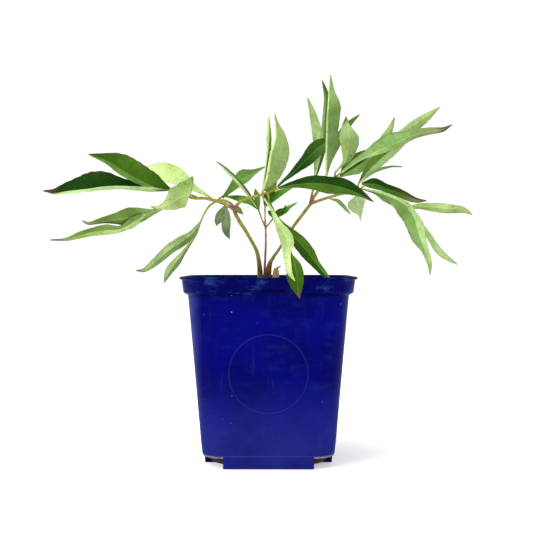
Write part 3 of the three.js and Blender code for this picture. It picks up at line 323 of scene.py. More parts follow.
         [133.5, 121, 38], [147.5, 126.7, 45], [161.5, 130, 51], [174.5, 132, 56], [183.5, 136.5, 60]],
         [3.2, 5.3, 9.8, 11.5, 7, 4.8, 2.8], [1.2, 1.5, 3.4, 5, 5, 3.8, 3.5, 3], [6, -4]),
        ([[102.5, 107, 21], [112.5, 116.5, 12], [121, 130, 3], [126.1, 144, -4]], [4, 4.8, 3], [3, 3.5, 2.5],
         [3, -3]),
        ([[102.5, 107, 21], [126.5, 124, -2], [142.5, 134, -22], [156.5, 143.5, -42], [171, 154, -60]],
         [3, 3, 4.7, 3.6], [3, 4, 6, 4.6], [4, -5]),
    )},
    "leaflet_right_short": {"stem": "stem_right", "face": "upper", "stalk": [[67, 83, -8], [73, 84.5, -11]],
     "lobes": lobes(
        ([[72.5, 85, -11], [82.5, 91, -16], [92.5, 97.5, -21], [102.5, 105, -26]], [3.2, 3.9, 3.5],
         [4.3, 7.5, 6], [-3, 3]),
        ([[72, 84.5, -11], [77, 95, -19], [86.5, 105, -28], [96.5, 111, -36]], [2.5, 2.5, 2], [2.5, 2.5, 2],
         [-2, 2]),
    )},
    "leaflet_right_behind": {"stem": "stem_right", "face": "upper", "stalk": [[88, 71, -8], [91, 80, -5]],
     "lobes": lobes(
        ([[91, 79, -5], [98.5, 88.5, -7], [107.5, 98, -8], [118.5, 107.5, -8], [129.5, 115, -8],
         [140, 121.5, -8]], [4.5, 7.5, 7, 4], [3, 6, 6.3, 4.4], [2, 4]),
        ([[91, 79, -5], [106, 90, 3], [121.5, 94.5, 6], [134, 94.5, 8]], [1.2, 1.3, 0.9], [1.5, 1.8, 1],
         [-3, 3]),
    )},
    "leaflet_right_dark": {"stem": "stem_right", "face": "upper", "stalk": [[91, 71.5, -9], [97, 76.5, -12]],
     "lobes": lobes(
        ([[93, 77.5, -13], [106.5, 77, -13], [117.5, 73, -12], [128.5, 69, -10], [139.5, 64.5, -7],
         [148.5, 61.5, -5], [158, 60.5, -3]], [5.8, 4.6, 4.6, 4, 2], [4.8, 4.2, 4.1, 4.2, 3.5], [-5, 5]),
    )},
    "leaflet_right_drooping": {"stem": "stem_right", "face": "under", "stalk": [[91.5, 71.5, -8], [97, 72, 1]],
     "lobes": lobes(
        ([[96.5, 71.7, 0], [105.5, 69.7, 8], [114.8, 67.2, 16], [122.5, 64.3, 21], [131.5, 60, 28],
         [139.8, 53.5, 36], [145, 45.5, 43], [148.5, 35, 49], [152, 23, 55], [157, 10, 61], [161, -2, 66],
         [161.8, -14, 70]], [1.5, 2.2, 2.7, 4, 4.3, 7, 5.6, 3.8, 2.5],
         [2.5, 6.8, 8, 12, 12, 10.4, 8.7, 4.2, 2.6], [2, -6]),
        ([[139.8, 53.5, 36], [146.5, 44, 39], [153.5, 34, 40], [161.1, 24.2, 39], [166.9, 15, 38],
         [172.5, 8.5, 37], [179.9, 2.6, 36], [189, -3.2, 34]], [2.5, 3, 3, 3.3, 2.3], [3, 2.5, 2.9, 3.6, 2.8],
         [-3, 3]),
        ([[139.8, 53.5, 36], [151.5, 54.7, 33], [163.5, 54, 30], [175.5, 53, 27], [187.5, 52, 24],
         [196.5, 50.5, 22], [203.7, 46.6, 20]], [3.4, 4.1, 4.8, 4.4, 3.5], [2.5, 4, 4.9, 4.6, 3], [4, -4]),
    )},
    "leaflet_right_hanging": {"stem": "stem_right", "face": "under", "stalk": [[86, 70.5, -8],
     [87.5, 64, -11]], "lobes": lobes(
        ([[87.5, 65, -11], [88.5, 58, -13], [91, 49, -15], [92, 40.5, -17]], [8.5, 6.8, 3.8, 1.4],
         [8.6, 9.4, 6.5, 1.2], [-3, 3]),
    )},
    "leaflet_right_thin": {"stem": "stem_right", "face": "under", "stalk": [[60, 63.5, -9], [64.5, 61.5, -4]],
     "lobes": lobes(
        ([[64, 61.7, -4.5], [69, 60.5, -3], [73.5, 56.5, -3], [78, 51.5, -3], [82, 47, -3]], [1.8, 1.9, 1.5],
         [1.8, 1.9, 1.5], [-1, 1]),
    )},
}

# Stems, as drawn: each trunk and branch is a path with its radii
STEMS = {
    "stem_left": {
        "trunk": [[-8.2, -22, 6], [-8.3, -14, 6], [-9.2, -3, 6.5], [-11.8, 10, 7.5], [-17.6, 21.3, 9],
         [-23.5, 31.3, 10], [-28.7, 39.2, 11], [-32.8, 46.7, 11.5], [-34.6, 52.5, 12]],
        "radii": [3.3, 2.8, 2.1, 1.7, 1.75, 1.9, 1.9],
        "branches": [
            {"path": [[-33.5, 50.5, 12], [-39.7, 55.3, 13], [-49.3, 59.3, 14.5], [-63.1, 62.8, 17.5],
             [-76.8, 63.5, 20.5], [-88, 69, 21]], "radii": [1.8, 1.3]},
            {"path": [[-34, 51.5, 12], [-31.5, 56.2, 13.5], [-27, 60.3, 15.5], [-18.5, 63.5, 17.5],
             [-6.5, 66.7, 21], [3.5, 70.3, 21]], "radii": [1.7, 1.2]},
            {"path": [[-33.5, 50.5, 12], [-37, 57, 6], [-43, 60.5, 0], [-50.5, 61.5, -6]], "radii": [1.4, 1]},
        ],
    },
    "stem_right": {
        "trunk": [[-0.7, -22, -4], [-0.7, -14, -4], [1.2, -3, -4], [4.8, 3.8, -4.5], [11.3, 13.2, -5.5],
         [18, 24, -7], [25.1, 34.9, -8], [33.5, 46, -9], [42.4, 57.5, -10]],
        "radii": [4, 3.3, 1.6, 1.5, 1.6, 1.7, 1.7],
        "branches": [
            {"path": [[41.5, 57.5, -10], [44, 69, -11], [45.5, 75, -12]], "radii": [1.3, 1]},
            {"path": [[41.5, 57.5, -10], [48, 68, -9], [53.5, 74, -8], [66.5, 83.5, -7]], "radii": [1.6, 1.2]},
            {"path": [[41.5, 57.5, -10], [61, 64, -9], [72, 67, -8], [82, 69.5, -8], [91.5, 71.5, -8]],
             "radii": [1.6, 1.2]},
        ],
    },
    "stem_centre": {
        "trunk": [[-3.9, -22, -10], [-3.9, -9, -10], [-2.7, 17, -9], [-2.9, 35, -9]],
        "radii": [1.3, 0.95],
        "branches": [
            {"path": [[-2.9, 33.5, -9], [-6.3, 41.1, -9], [-8.8, 48, -9]], "radii": [0.9, 0.8]},
            {"path": [[-2.9, 33.5, -9], [-3.4, 43, -9.5], [-3.5, 50, -10]], "radii": [0.9, 0.8]},
            {"path": [[-2.9, 33.5, -9], [0.4, 37.2, -9.5], [3, 40.6, -10]], "radii": [0.9, 0.8]},
        ],
    },
}

# Dry shreds beside the stems, on a short stump
SHREDS = {
    "foot": [6.5, -3.5], "footRadius": 1.7, "footZ": [153, 166], "lobes": lobes(
        ([[6.5, -28, 3.5], [5.9, -18, 3.8], [5.7, -12, 4], [6.3, -6.3, 4.2]], [1.2, 1.5, 1.3], [1.2, 1.5, 1.2],
         [2, 2]),
        ([[6.5, -28, 3.5], [7, -16, 5], [7.6, -9, 6], [9.3, -6.5, 7], [12.3, -5, 8]], [1.2, 1.3, 1],
         [1.2, 1.3, 1], [1, -1]),
        ([[6.5, -28, 3.5], [8.9, -18, 2], [9.4, -12, 1.5], [9.1, -6.6, 1]], [1, 1.3, 1.1], [1, 1.3, 1.1],
         [-1, -1]),
    ),
}

# Leaf colours (sRGB)
TONES = {
    "deep": (20, 62, 8),
    "dark": (40, 80, 8),
    "forest": (68, 106, 28),
    "mid": (96, 138, 60),
    "fresh": (88, 146, 44),
    "olive": (108, 134, 62),
    "soft": (124, 158, 92),
    "moss": (142, 168, 102),
    "grey": (140, 165, 118),
    "ghost": (162, 186, 136),
    "sage": (166, 190, 122),
    "pale": (168, 198, 132),
    "bright": (200, 228, 150),
    "light": (222, 244, 166),
    "drab": (134, 124, 92),
    "brown": (75, 85, 20),
    "purple": (60, 40, 40),
}
TIP_BROWN = (84, 62, 50)
MARGIN_PURPLE = (86, 56, 52)

# How each lobe looks: the tones of the left and right halves of the face toward the eye, from base to
# tip, seen along the midrib; the tone of the face turned away; and how far the tip is browned. The tones are
# the colours the lobes show as they are lit, so they carry painted light and shade as well as the leaf's own
# colour: the halves often differ as one is lit and one is in shade, and some stops are painted sheen or
# highlight
LOBE_LOOKS = {
    "leaflet_left_end": [("mid", "dark>forest>forest>dark", "pale", 0.5), ("mid", "deep", "pale", 1)],
    "leaflet_left_top": [("pale>bright>light", "pale>bright>bright", "forest", 0)],
    "leaflet_left_twisted": [("sage", "sage", "dark", 0.6), ("sage>soft", "sage>sage>forest", "dark", 0.3)],
    "leaflet_left_low": [
        ("soft>olive>olive", "soft>olive>olive", "dark", 0.7),
        ("sage>sage>moss>drab", "soft>olive>olive>olive>drab", "dark", 1),
    ],
    "leaflet_left_hanging": [
        # The pale stop on the right half of the first lobe is a painted highlight
        ("soft>soft>moss", "soft>sage>pale>moss", "dark", 0.6),
        ("soft>moss", "sage>pale", "dark", 0.5),
    ],
    "leaflet_rear_hanging": [
        ("grey", "grey", "mid", 0),
        ("grey", "grey", "mid", 0.3),
        ("grey", "grey", "mid", 0),
    ],
    "leaflet_rear_top": [("forest>mid>mid", "forest>mid>soft", "soft", 0.2)],
    "leaflet_centre_left": [
        ("bright", "forest", "pale", 0.4),
        ("fresh", "fresh", "pale", 0),
        ("mid", "mid", "pale", 0),
    ],
    "leaflet_centre_middle": [("fresh", "fresh", "pale", 0), ("dark", "dark", "pale", 0)],
    "leaflet_centre_right": [
        ("dark", "dark", "pale", 0),
        ("fresh", "fresh", "pale", 0),
        ("forest", "forest", "pale", 0),
    ],
    "leaflet_mid_upright": [
        ("light", "moss", "dark", 0.2),
        ("bright", "soft", "dark", 0),
        ("olive", "olive", "mid", 0),
    ],
    # The lighter tip of the right half is a painted sheen
    "leaflet_mid_rising": [("dark>deep>dark>forest", "deep>deep>mid", "soft", 0.2)],
    "leaflet_mid_long": [("deep", "forest", "pale", 0.6)],
    "leaflet_front_pale": [
        ("pale>bright>light", "pale>pale>bright", "dark", 0.4),
        ("dark>forest>dark", "dark>forest>dark", "soft", 1),
    ],
    "leaflet_front_dark": [("dark>forest>forest>olive", "forest>forest>dark>dark", "soft", 0)],
    "leaflet_right_tall": [
        ("bright", "soft>soft>moss", "dark", 0.2),
        ("soft>mid>forest", "soft>mid>forest", "mid", 0.2),
    ],
    "leaflet_right_tall_rear": [
        ("bright>bright>dark", "dark>soft>dark", "soft", 0.2),
        ("sage", "pale", "soft", 0.2),
    ],
    "leaflet_right_upright": [("sage", "soft>pale", "dark", 0.8)],
    "leaflet_right_long": [
        ("moss>soft>soft>drab", "pale>soft>drab", "dark", 1),
        ("pale", "moss", "dark", 0.2),
        ("pale", "moss", "mid", 0.2),
    ],
    "leaflet_right_short": [("dark", "soft", "soft", 0), ("forest", "forest", "soft", 0)],
    "leaflet_right_behind": [
        ("forest>olive", "soft>pale", "soft", 0.2),
        ("sage>forest", "sage>forest", "soft", 0),
    ],
    "leaflet_right_dark": [("dark>deep>brown>purple", "mid>forest>drab", "soft", 1)],
    "leaflet_right_drooping": [
        ("pale", "forest>soft>soft>pale", "dark", 0.4),
        ("pale", "pale", "dark", 0.3),
        ("sage", "moss", "dark", 0.3),
    ],
    "leaflet_right_hanging": [("ghost", "ghost", "mid", 0)],
    "leaflet_right_thin": [("soft", "soft", "mid", 0)],
}

# How far each stem's skin is flushed red-brown, on its trunk and on its branches
STEM_FLUSH = {"stem_left": (0.1, 0.38), "stem_right": (0.1, 0.38), "stem_centre": (0.8, 0.35)}

# The side of each stem that is browner, and how far above the rim its dark foot reaches (mm)
STEM_BROWN_SIDE = {"stem_left": (0.8, 0.2, 0.5), "stem_right": (-0.5, 0.2, 0.8), "stem_centre": (0.3, 0.2, 0.8)}
STEM_DARK_FOOT = {"stem_left": 26, "stem_right": 26, "stem_centre": 13}

# Leaflets with small dark spots
SPOTTED = {"leaflet_front_pale", "leaflet_mid_upright"}

# Lobes twisted so that they turn their leaflet's other face to the eye
TWISTED_LOBES = {("leaflet_front_pale", 1)}

random.seed(11)
noise.seed_set(11)


def linear(colour):
    """An sRGB colour from 0 to 255 as linear RGB."""
    values = np.asarray(colour, float) / 255
    return np.where(values <= 0.04045, values / 12.92, ((values + 0.055) / 1.055) ** 2.4)


def rgb(colour):
    return (*linear(colour), 1.0)


def seen(points):
    """Drawn points, as (across, rise, toward) rows, at their real places in metres."""
    points = np.asarray(points, float)
    scale = (EYE_DISTANCE - points[..., 2]) / DRAWING_DISTANCE
    places = np.stack([points[..., 0] * scale, -points[..., 2], EYE_HEIGHT + points[..., 1] * scale], -1)
    return places * MM


def spline(points, shares):
    """A smooth curve through the points, at shares from 0 to 1."""
    points = np.asarray(points, float)
    if points.ndim == 1:
        points = points[:, None]
    last = len(points) - 1
    place = np.minimum(np.asarray(shares, float) * last, last - 1e-9)
    i = place.astype(int)
    u = (place - i)[:, None]
    full = np.vstack([2 * points[0] - points[1], points, 2 * points[-1] - points[-2]])
    a, b, c, d = full[i], full[i + 1], full[i + 2], full[i + 3]
    slope = (c - a) / 2
    next_slope = (d - b) / 2
    gain = c - b
    return b + u * (slope + u * (3 * gain - 2 * slope - next_slope + u * (slope + next_slope - 2 * gain)))


def evenly(points, count):
    """Points of the same curve at even steps of its length."""
    fine = spline(points, np.linspace(0, 1, CURVE_STEPS + 1))
    run = np.concatenate([[0], np.cumsum(np.linalg.norm(np.diff(fine, axis=0), axis=1))])
    goals = np.linspace(0, run[-1], count)
    return np.stack([np.interp(goals, run, fine[:, k]) for k in range(fine.shape[1])], -1)


def unit(vectors):
    return vectors / np.maximum(np.linalg.norm(vectors, axis=-1, keepdims=True), 1e-12)


class Shape:
    """Points, faces, material numbers and point values, gathered before they become one mesh."""

    def __init__(self):
        self.points = []
        self.faces = []
        self.slots = []
        self.values = {}

    def add(self, points, faces, slots, **values):
        start = len(self.points)
        self.points.extend(np.reshape(points, (-1, 3)).tolist())
        self.faces.extend(tuple(start + i for i in face) for face in faces)
        self.slots.extend([slots] * len(faces) if isinstance(slots, int) else slots)
        for name, rows in values.items():
            column = self.values.setdefault(name, [])
            column.extend([np.zeros(rows.shape[1:]).tolist()] * (start - len(column)))
            column.extend(rows.tolist())

    def mesh(self, name):
        mesh = bpy.data.meshes.new(name)
        mesh.from_pydata(self.points, [], self.faces)
        mesh.polygons.foreach_set("material_index", self.slots)
        for key, rows in self.values.items():
            rows = np.asarray(rows, np.float32)
            missing = len(self.points) - len(rows)
            rows = np.concatenate([rows, np.zeros((missing, *rows.shape[1:]), np.float32)])
            if rows.ndim == 1:
                mesh.attributes.new(key, "FLOAT", "POINT").data.foreach_set("value", rows)
            else:
                colours = np.concatenate([rows, np.ones((len(rows), 1), np.float32)], 1)
                mesh.attributes.new(key, "FLOAT_COLOR", "POINT").data.foreach_set("color", colours.ravel())
        mesh.shade_smooth()
        mesh.update()
        return mesh


def in_scene(name, data):
    """A new object of the scene that shows this data."""
    thing = bpy.data.objects.new(name, data)
    bpy.context.scene.collection.objects.link(thing)
    return thing


def worked(piece, name):
    """A piece's mesh with its modifiers worked in. The piece itself goes."""
    whole = bpy.data.meshes.new_from_object(piece.evaluated_get(bpy.context.evaluated_depsgraph_get()))
    bpy.data.objects.remove(piece)
    whole.name = name
    whole.materials.clear()
    return whole


def place(name, mesh, slot, *nodes, materials):
    """Put a finished mesh in the scene in place of its solids."""
    piece = in_scene(name, mesh)
    for material in materials:
        mesh.materials.append(material)
    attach(piece, "root")
    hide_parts(*nodes)


def ring_faces(rows, sides):
    """The faces of a closed tube of rings, with its two ends."""
    faces = []
    for i in range(rows - 1):
        for j in range(sides):
            a = i * sides + j
            b = i * sides + (j + 1) % sides
            faces.append((a, b, b + sides, a + sides))
    return faces + [tuple(range(sides - 1, -1, -1)), tuple(range((rows - 1) * sides, rows * sides))]


def tube(shape, path, radii, sides, slot, **values):
    """Add a closed round tube along a path, in metres."""
    path = np.asarray(path, float)
    side = np.array([1.0, 0, 0])
    turns = np.linspace(0, 2 * math.pi, sides, endpoint=False)
    rings = []
    for point, way, radius in zip(path, unit(np.gradient(path, axis=0)), np.broadcast_to(radii, len(path))):
        side = unit(side - way * side.dot(way))
        other = np.cross(way, side)
        rings.append(point + radius * (np.cos(turns)[:, None] * side + np.sin(turns)[:, None] * other))
    shape.add(rings, ring_faces(len(path), sides), slot, **values)


# Materials. Their distances are in metres and their colours in sRGB


class Nodes:
    """A short way to write a material's nodes. Coats build up its base colour."""

    def __init__(self, name):
        self.material = bpy.data.materials.new(name)
        self.material.use_nodes = True
        self.tree = self.material.node_tree
        self.shader = self.tree.nodes["Principled BSDF"]
        self.base = None

    def add(self, kind, **settings):
        node = self.tree.nodes.new(kind)
        for key, value in settings.items():
            setattr(node, key, value)
        return node

    def put(self, socket, value):
        if isinstance(value, bpy.types.NodeSocket):
            self.tree.links.new(value, socket)
        else:
            socket.default_value = value

    def filled(self, node, **values):
        """The outputs of a node whose named inputs take these values."""
        for key, value in values.items():
            self.put(node.inputs[key.replace("_", " ")], value)
        return node.outputs

    def fed(self, kind, value, **settings):
        """The outputs of a new node whose first input takes this value."""
        node = self.add(kind, **settings)
        self.put(node.inputs[0], value)
        return node.outputs

    def coords(self):
        return self.add("ShaderNodeTexCoord").outputs["Object"]

    def stretched(self, rise):
        """Coordinates scaled along the height alone."""
        return self.filled(self.add("ShaderNodeMapping"), Vector=self.coords(), Scale=(1, 1, rise))[0]

    def attribute(self, name, output="Fac"):
        return self.add("ShaderNodeAttribute", attribute_name=name).outputs[output]

    def math(self, operation, a, b=0.0):
        node = self.add("ShaderNodeMath", operation=operation)
        self.put(node.inputs[0], a)
        self.put(node.inputs[1], b)
        return node.outputs[0]

    def product(self, total, *others):
        for other in others:
            total = self.math("MULTIPLY", total, other)
        return total

    def gap(self, a, b):
        return self.math("ABSOLUTE", self.math("SUBTRACT", a, b))

    def span(self, value, low, high, start=0.0, end=1.0):
        """A smooth step from start to end, as the value goes from low to high."""
        node = self.add("ShaderNodeMapRange", interpolation_type="SMOOTHSTEP")
        limits = {"From_Min": low, "From_Max": high, "To_Min": start, "To_Max": end}
        return self.filled(node, Value=value, **limits)["Result"]

    def noise(self, scale, detail=4.0, roughness=0.55, vector=None):
        if vector is None:
            vector = self.coords()
        node = self.add("ShaderNodeTexNoise")
        return self.filled(node, Scale=scale, Detail=detail, Roughness=roughness, Vector=vector)["Fac"]

    def dots(self, scale, edge, chosen):
        """Round dots with this soft edge, in the cells whose random value is in the chosen span."""
        cells = self.filled(self.add("ShaderNodeTexVoronoi"), Scale=scale, Vector=self.coords())
        picked = self.fed("ShaderNodeSeparateColor", cells["Color"])[0]
        return self.product(self.span(cells["Distance"], *edge, 1.0, 0.0), self.span(picked, *chosen))

    def mix(self, share, a, b, blend="MIX"):
        node = self.add("ShaderNodeMix", data_type="RGBA", blend_type=blend)
        for socket, value in zip(MIX_INPUTS, (share, a, b)):
            self.put(node.inputs[socket], value)
        return node.outputs[MIX_OUTPUT]

    def between(self, value, low, high, first, second):
        """From the first colour to the second, as the value goes from low to high."""
        return self.mix(self.span(value, low, high), rgb(first), rgb(second))

    def coat(self, colour, *shares):
        """Lay a colour over the base, as far as the product of the shares."""
        self.base = self.mix(self.product(*shares), self.base, rgb(colour))

    def tint(self, colour, share, blend):
        """Blend a colour with the base, as far as the share."""
        self.base = self.mix(share, self.base, self.mix(1.0, self.base, rgb(colour), blend))

    def bump(self, height, distance, strength):
        node = self.add("ShaderNodeBump")
        normal = self.filled(node, Height=height, Distance=distance, Strength=strength)["Normal"]
        self.put(self.shader.inputs["Normal"], normal)

    def finish(self, roughness, specular):
        settings = {"Base_Color": self.base, "Roughness": roughness, "Specular_IOR_Level": specular}
        self.filled(self.shader, **settings)
        return self.material


def leaf_material(name, tone, vein, rib_share, side_share, roughness):
    """One face of a blade: its mottled tone, which carries painted light and shade, a midrib, slanting side
    veins and, on some, dark dots.
    """
    n = Nodes(name)
    n.base = n.attribute(tone, "Color")
    n.tint((206, 214, 176), n.span(n.noise(210, 5, 0.6), 0.38, 0.68, 0.0, 0.5), "MULTIPLY")
    n.tint((226, 232, 150), n.span(n.noise(46, 3, 0.5), 0.45, 0.7, 0.0, 0.4), "MULTIPLY")
    count = n.attribute("vein")
    side_vein = n.span(n.gap(n.math("FRACT", count), 0.5), 0.43, 0.495)
    fine_phase = n.math("FRACT", n.product(count, FINE_VEINS))
    fine_vein = n.product(n.span(n.gap(fine_phase, 0.5), 0.38, 0.5), 0.3)
    fade = n.span(n.attribute("edge"), 0.75, 1.0, 1.0, 0.2)
    side_vein = n.product(n.math("MAXIMUM", side_vein, fine_vein), fade)
    midrib = n.span(n.attribute("rib_share"), 0.5, 1.0, 1.0, 0.0)
    shown = n.math("MAXIMUM", n.product(midrib, rib_share), n.product(side_vein, side_share))
    n.tint(vein, shown, "SCREEN")
    n.coat((84, 104, 56), n.dots(200, (0.08, 0.2), (0.8, 0.9)), n.attribute("spotted"), 0.65)
    veins = n.math("MAXIMUM", midrib, n.product(side_vein, 0.55))
    n.bump(n.math("ADD", n.product(veins, -0.6), n.product(n.noise(900, 3, 0.6), 0.5)), 0.00012, 0.6)
    return n.finish(roughness, 0.02)


def margin_material():
    n = Nodes("leaf_margin")
    n.base = n.attribute("under_tone", "Color")
    n.coat((140, 122, 66), n.span(n.noise(120, 3), 0.4, 0.7, 0.1, 0.5))
    return n.finish(0.6, 0.12)


def stem_material(name, brown, light_brown):
    """Smooth olive skin with fine streaks, flushed red-brown by the flush value and dark at its foot."""
    n = Nodes(name)
    streak = n.noise(260, 4, 0.6)
    pairs = (((124, 128, 40), (170, 168, 72)), (brown, light_brown), ((76, 36, 28), (142, 96, 74)))
    olive, flushed, foot = (n.between(streak, 0.35, 0.7, *pair) for pair in pairs)
    blotch = n.product(n.math("SUBTRACT", n.noise(110, 3), 0.5), 0.7)
    share = n.span(n.math("ADD", n.attribute("flush"), blotch), 0.25, 0.8)
    n.base = n.mix(n.attribute("foot"), n.mix(share, olive, flushed), foot)
    n.bump(streak, 0.0002, 0.4)
    return n.finish(0.45, 0.2)


def pot_material():
    """Deep blue moulded plastic: dusty towards the foot, pale along the notches' top edges, scuffed, with pale
    specks, and with painted highlights on the rounded side corners and painted shade under the band and in the
    notch ceilings.
    """
    n = Nodes("pot_plastic")
    across, deep, height = n.fed("ShaderNodeSeparateXYZ", n.coords())
    sideways = n.math("ABSOLUTE", across)
    inward = n.math("ABSOLUTE", deep)
    broad = n.noise(16, 4, 0.6)
    n.base = n.between(broad, 0.35, 0.7, (0, 1, 84), (1, 3, 106))

    # Dust, painted highlights on the rounded side corners, the darker band, streaks and scuffs
    dust = n.product(n.span(height, 0.012, 0.092, 1.0, 0.0), n.span(n.noise(30, 5, 0.7), 0.25, 0.75, 0.55, 1.0))
    n.coat((38, 43, 126), dust, 0.75)
    # Painted highlight: the rounded side corners lighter, more on the left than on the right
    corner = n.math("ADD", n.span(across, -0.074, -0.06, 0.7, 0.0), n.span(across, 0.066, 0.078, 0.0, 0.35))
    n.coat((62, 68, 142), corner, n.span(n.noise(22, 4, 0.7), 0.3, 0.7, 0.4, 1.0))
    n.coat((0, 1, 74), n.span(height, 0.159, 0.165, 0.0, 0.9))
    streaks = n.span(n.noise(240, 4, 0.7, n.stretched(0.12)), 0.55, 0.75, 0.0, 0.35)
    n.coat((44, 56, 132), streaks, n.span(n.noise(20, 3), 0.4, 0.65))
    scuff = n.noise(48, 6, 0.75, n.stretched(2.6))
    scuffs = n.product(n.span(scuff, 0.5, 0.7), n.span(height, 0.159, 0.164, 0.12, 0.95))
    n.coat((44, 76, 138), scuffs, 0.62)

    # The shade under the band, the crease above the skirt, and the ring's fine outline
    step_end = BAND_STEP_HALF + BAND_STEP_RAMP
    along = n.math("MINIMUM", sideways, inward)
    step = n.span(along, BAND_STEP_HALF * MM, step_end * MM, BAND_STEP_RISE * MM, 0.0)
    below = n.math("SUBTRACT", n.math("ADD", step, BAND_FOOT_Z * MM), height)
    n.coat((2, 2, 34), n.span(below, 0.0, 0.0006), n.span(below, 0.0012, 0.0055, 1.0, 0.0), 0.7)
    n.coat((58, 58, 146), n.span(n.gap(height, 0.0122), 0.0002, 0.0009, 0.5, 0.0))
    above_ring = n.math("SUBTRACT", height, RING_Z * MM)
    from_ring = n.filled(n.add("ShaderNodeCombineXYZ"), X=across, Z=above_ring)[0]
    radius = n.fed("ShaderNodeVectorMath", from_ring, operation="LENGTH")["Value"]
    on_ring = n.span(n.gap(radius, (RING_RADIUS - RING_WIDTH / 2) * MM), 0.0002, 0.0011, 0.24, 0.0)
    n.coat((50, 58, 138), on_ring, n.span(deep, -0.055, -0.05, 1.0, 0.0))

    # Over each drain notch a tan line, and inside it the ceiling in painted shade, near black
    at_corner = n.product(*(
        n.span(far, start * MM - 0.0002, start * MM + 0.0002)
        for far, start in ((sideways, NOTCH_FRONT_START), (inward, NOTCH_SIDE_START))
    ))
    over_notch = n.product(n.span(height, 0.01, 0.0103), n.span(height, 0.0108, 0.0122, 1.0, 0.0))
    n.coat((158, 146, 134), over_notch, at_corner, n.span(n.noise(300, 4, 0.7), 0.35, 0.6, 0.25, 0.95))
    # Painted shade: the ceiling of each notch near black
    n.coat((10, 10, 34), n.span(height, 0.00995, 0.01005, 1.0, 0.0), at_corner)

    n.coat((150, 156, 190), n.dots(120, (0.03, 0.075), (0.72, 0.96, 0.0, 0.85)))
    n.bump(n.math("ADD", n.noise(420, 3, 0.6), n.product(broad, 2.0)), 0.00012, 0.35)
    return n.finish(n.math("ADD", 0.4, n.product(n.math("ADD", dust, scuffs), 0.2)), 0.02)


def grainy_material(name, scale, detail, span, colours, relief, finish, patch=None):
    """A rough surface whose grain runs from one colour to another, with patches of a third if one is given."""
    n = Nodes(name)
    grain = n.noise(scale, detail, 0.7)
    n.base = n.between(grain, *span, *colours)
    if patch:
        n.coat(patch, n.span(n.noise(90, 4), 0.6, 0.7, 0.0, 0.6))
    n.bump(grain, *relief)
    return n.finish(*finish)


def floor_material():
    """White paper that takes a soft shadow near the pot and glows evenly white farther out; its glow dims
    towards a point right of the pot, a painted shadow over the cast one there.
    """
    n = Nodes("white_floor")
    aside = n.add("ShaderNodeVectorMath", operation="SUBTRACT")
    n.put(aside.inputs[0], n.coords())
    n.put(aside.inputs[1], SHADOW_CENTRE)
    length = n.fed("ShaderNodeVectorMath", aside.outputs[0], operation="LENGTH")["Value"]
    # Painted shadow: the glow falls to about a third towards SHADOW_CENTRE, right of the pot, and rises to full
    # farther out
    n.filled(n.shader, Emission_Color=(1, 1, 1, 1), Emission_Strength=n.span(length, 0.03, 0.25, 0.36, 1.0))
    n.base = (0.85, 0.85, 0.85, 1)
    return n.finish(0.9, 0.0)


# Leaves


def half_width(side, shares):
    """Half width of one side of a blade along its length, as in the solids."""
    width = spline([BASE_HALF_WIDTH, *side, TIP_HALF_WIDTH], shares)[:, 0]
    sign = np.where(width < 0, -1, 1)
    return np.where(np.abs(width) < TIP_HALF_WIDTH, sign * TIP_HALF_WIDTH, width)


def blade_grid(lobe, length, shares, columns, phase):
    """The points of a blade's middle sheet, as drawn, in rows from base to tip."""
    line = evenly(lobe["rib"], len(shares))
    run = unit(np.gradient(line[:, :2], axis=0))
    to_left = np.stack([-run[:, 1], run[:, 0]], -1)
    grid = np.zeros((len(shares), len(columns), 3))
    for j, column in enumerate(columns):
        on_left = column < 0
        side = lobe["left" if on_left else "right"]
        share = abs(column)
        width = half_width(side, shares)
        fullness = np.abs(width) / max(abs(v) for v in side)
        wave = np.sin(2 * math.pi * WAVES_A_BLADE * shares + (0 if on_left else RIGHT_WAVE_PHASE))
        ripple_phase = phase + (0 if on_left else RIGHT_RIPPLE_PHASE)
        ripple = np.sin(2 * math.pi * (length / RIPPLE_SPACING) * shares + ripple_phase)
        depth = lobe["lean"][0 if on_left else 1] * fullness * share
        depth = depth + (WAVE_DEPTH * wave + RIPPLE_DEPTH * ripple * share) * share * fullness
        out = (width * share * (1 + RIPPLE_WIDTH * ripple * share))[:, None] * to_left * (1 if on_left else -1)
        grid[:, j, :2] = line[:, :2] + out
        grid[:, j, 2] = line[:, 2] + depth
    return grid


def blade_faces(rows, wide, flip):
    """The faces and material numbers of a blade: its top sheet, its low sheet and the margin between them."""
    count = rows * wide
    faces = []
    slots = []

    def put(a, b, c, d, slot):
        faces.append((d, c, b, a) if flip else (a, b, c, d))
        slots.append(slot)

    for i in range(rows - 1):
        for j in range(wide - 1):
            a = i * wide + j
            put(a, a + 1, a + wide + 1, a + wide, 0)
            put(a + count, a + wide + count, a + wide + 1 + count, a + 1 + count, 1)
        for a, b in ((i * wide, (i + 1) * wide), ((i + 2) * wide - 1, (i + 1) * wide - 1)):
            put(a, b, b + count, a + count, 2)
    last = (rows - 1) * wide
    for j in range(wide - 1):
        put(j + 1, j, j + count, j + 1 + count, 2)
        put(last + j, last + j + 1, last + j + 1 + count, last + j + count, 2)
    return faces, slots


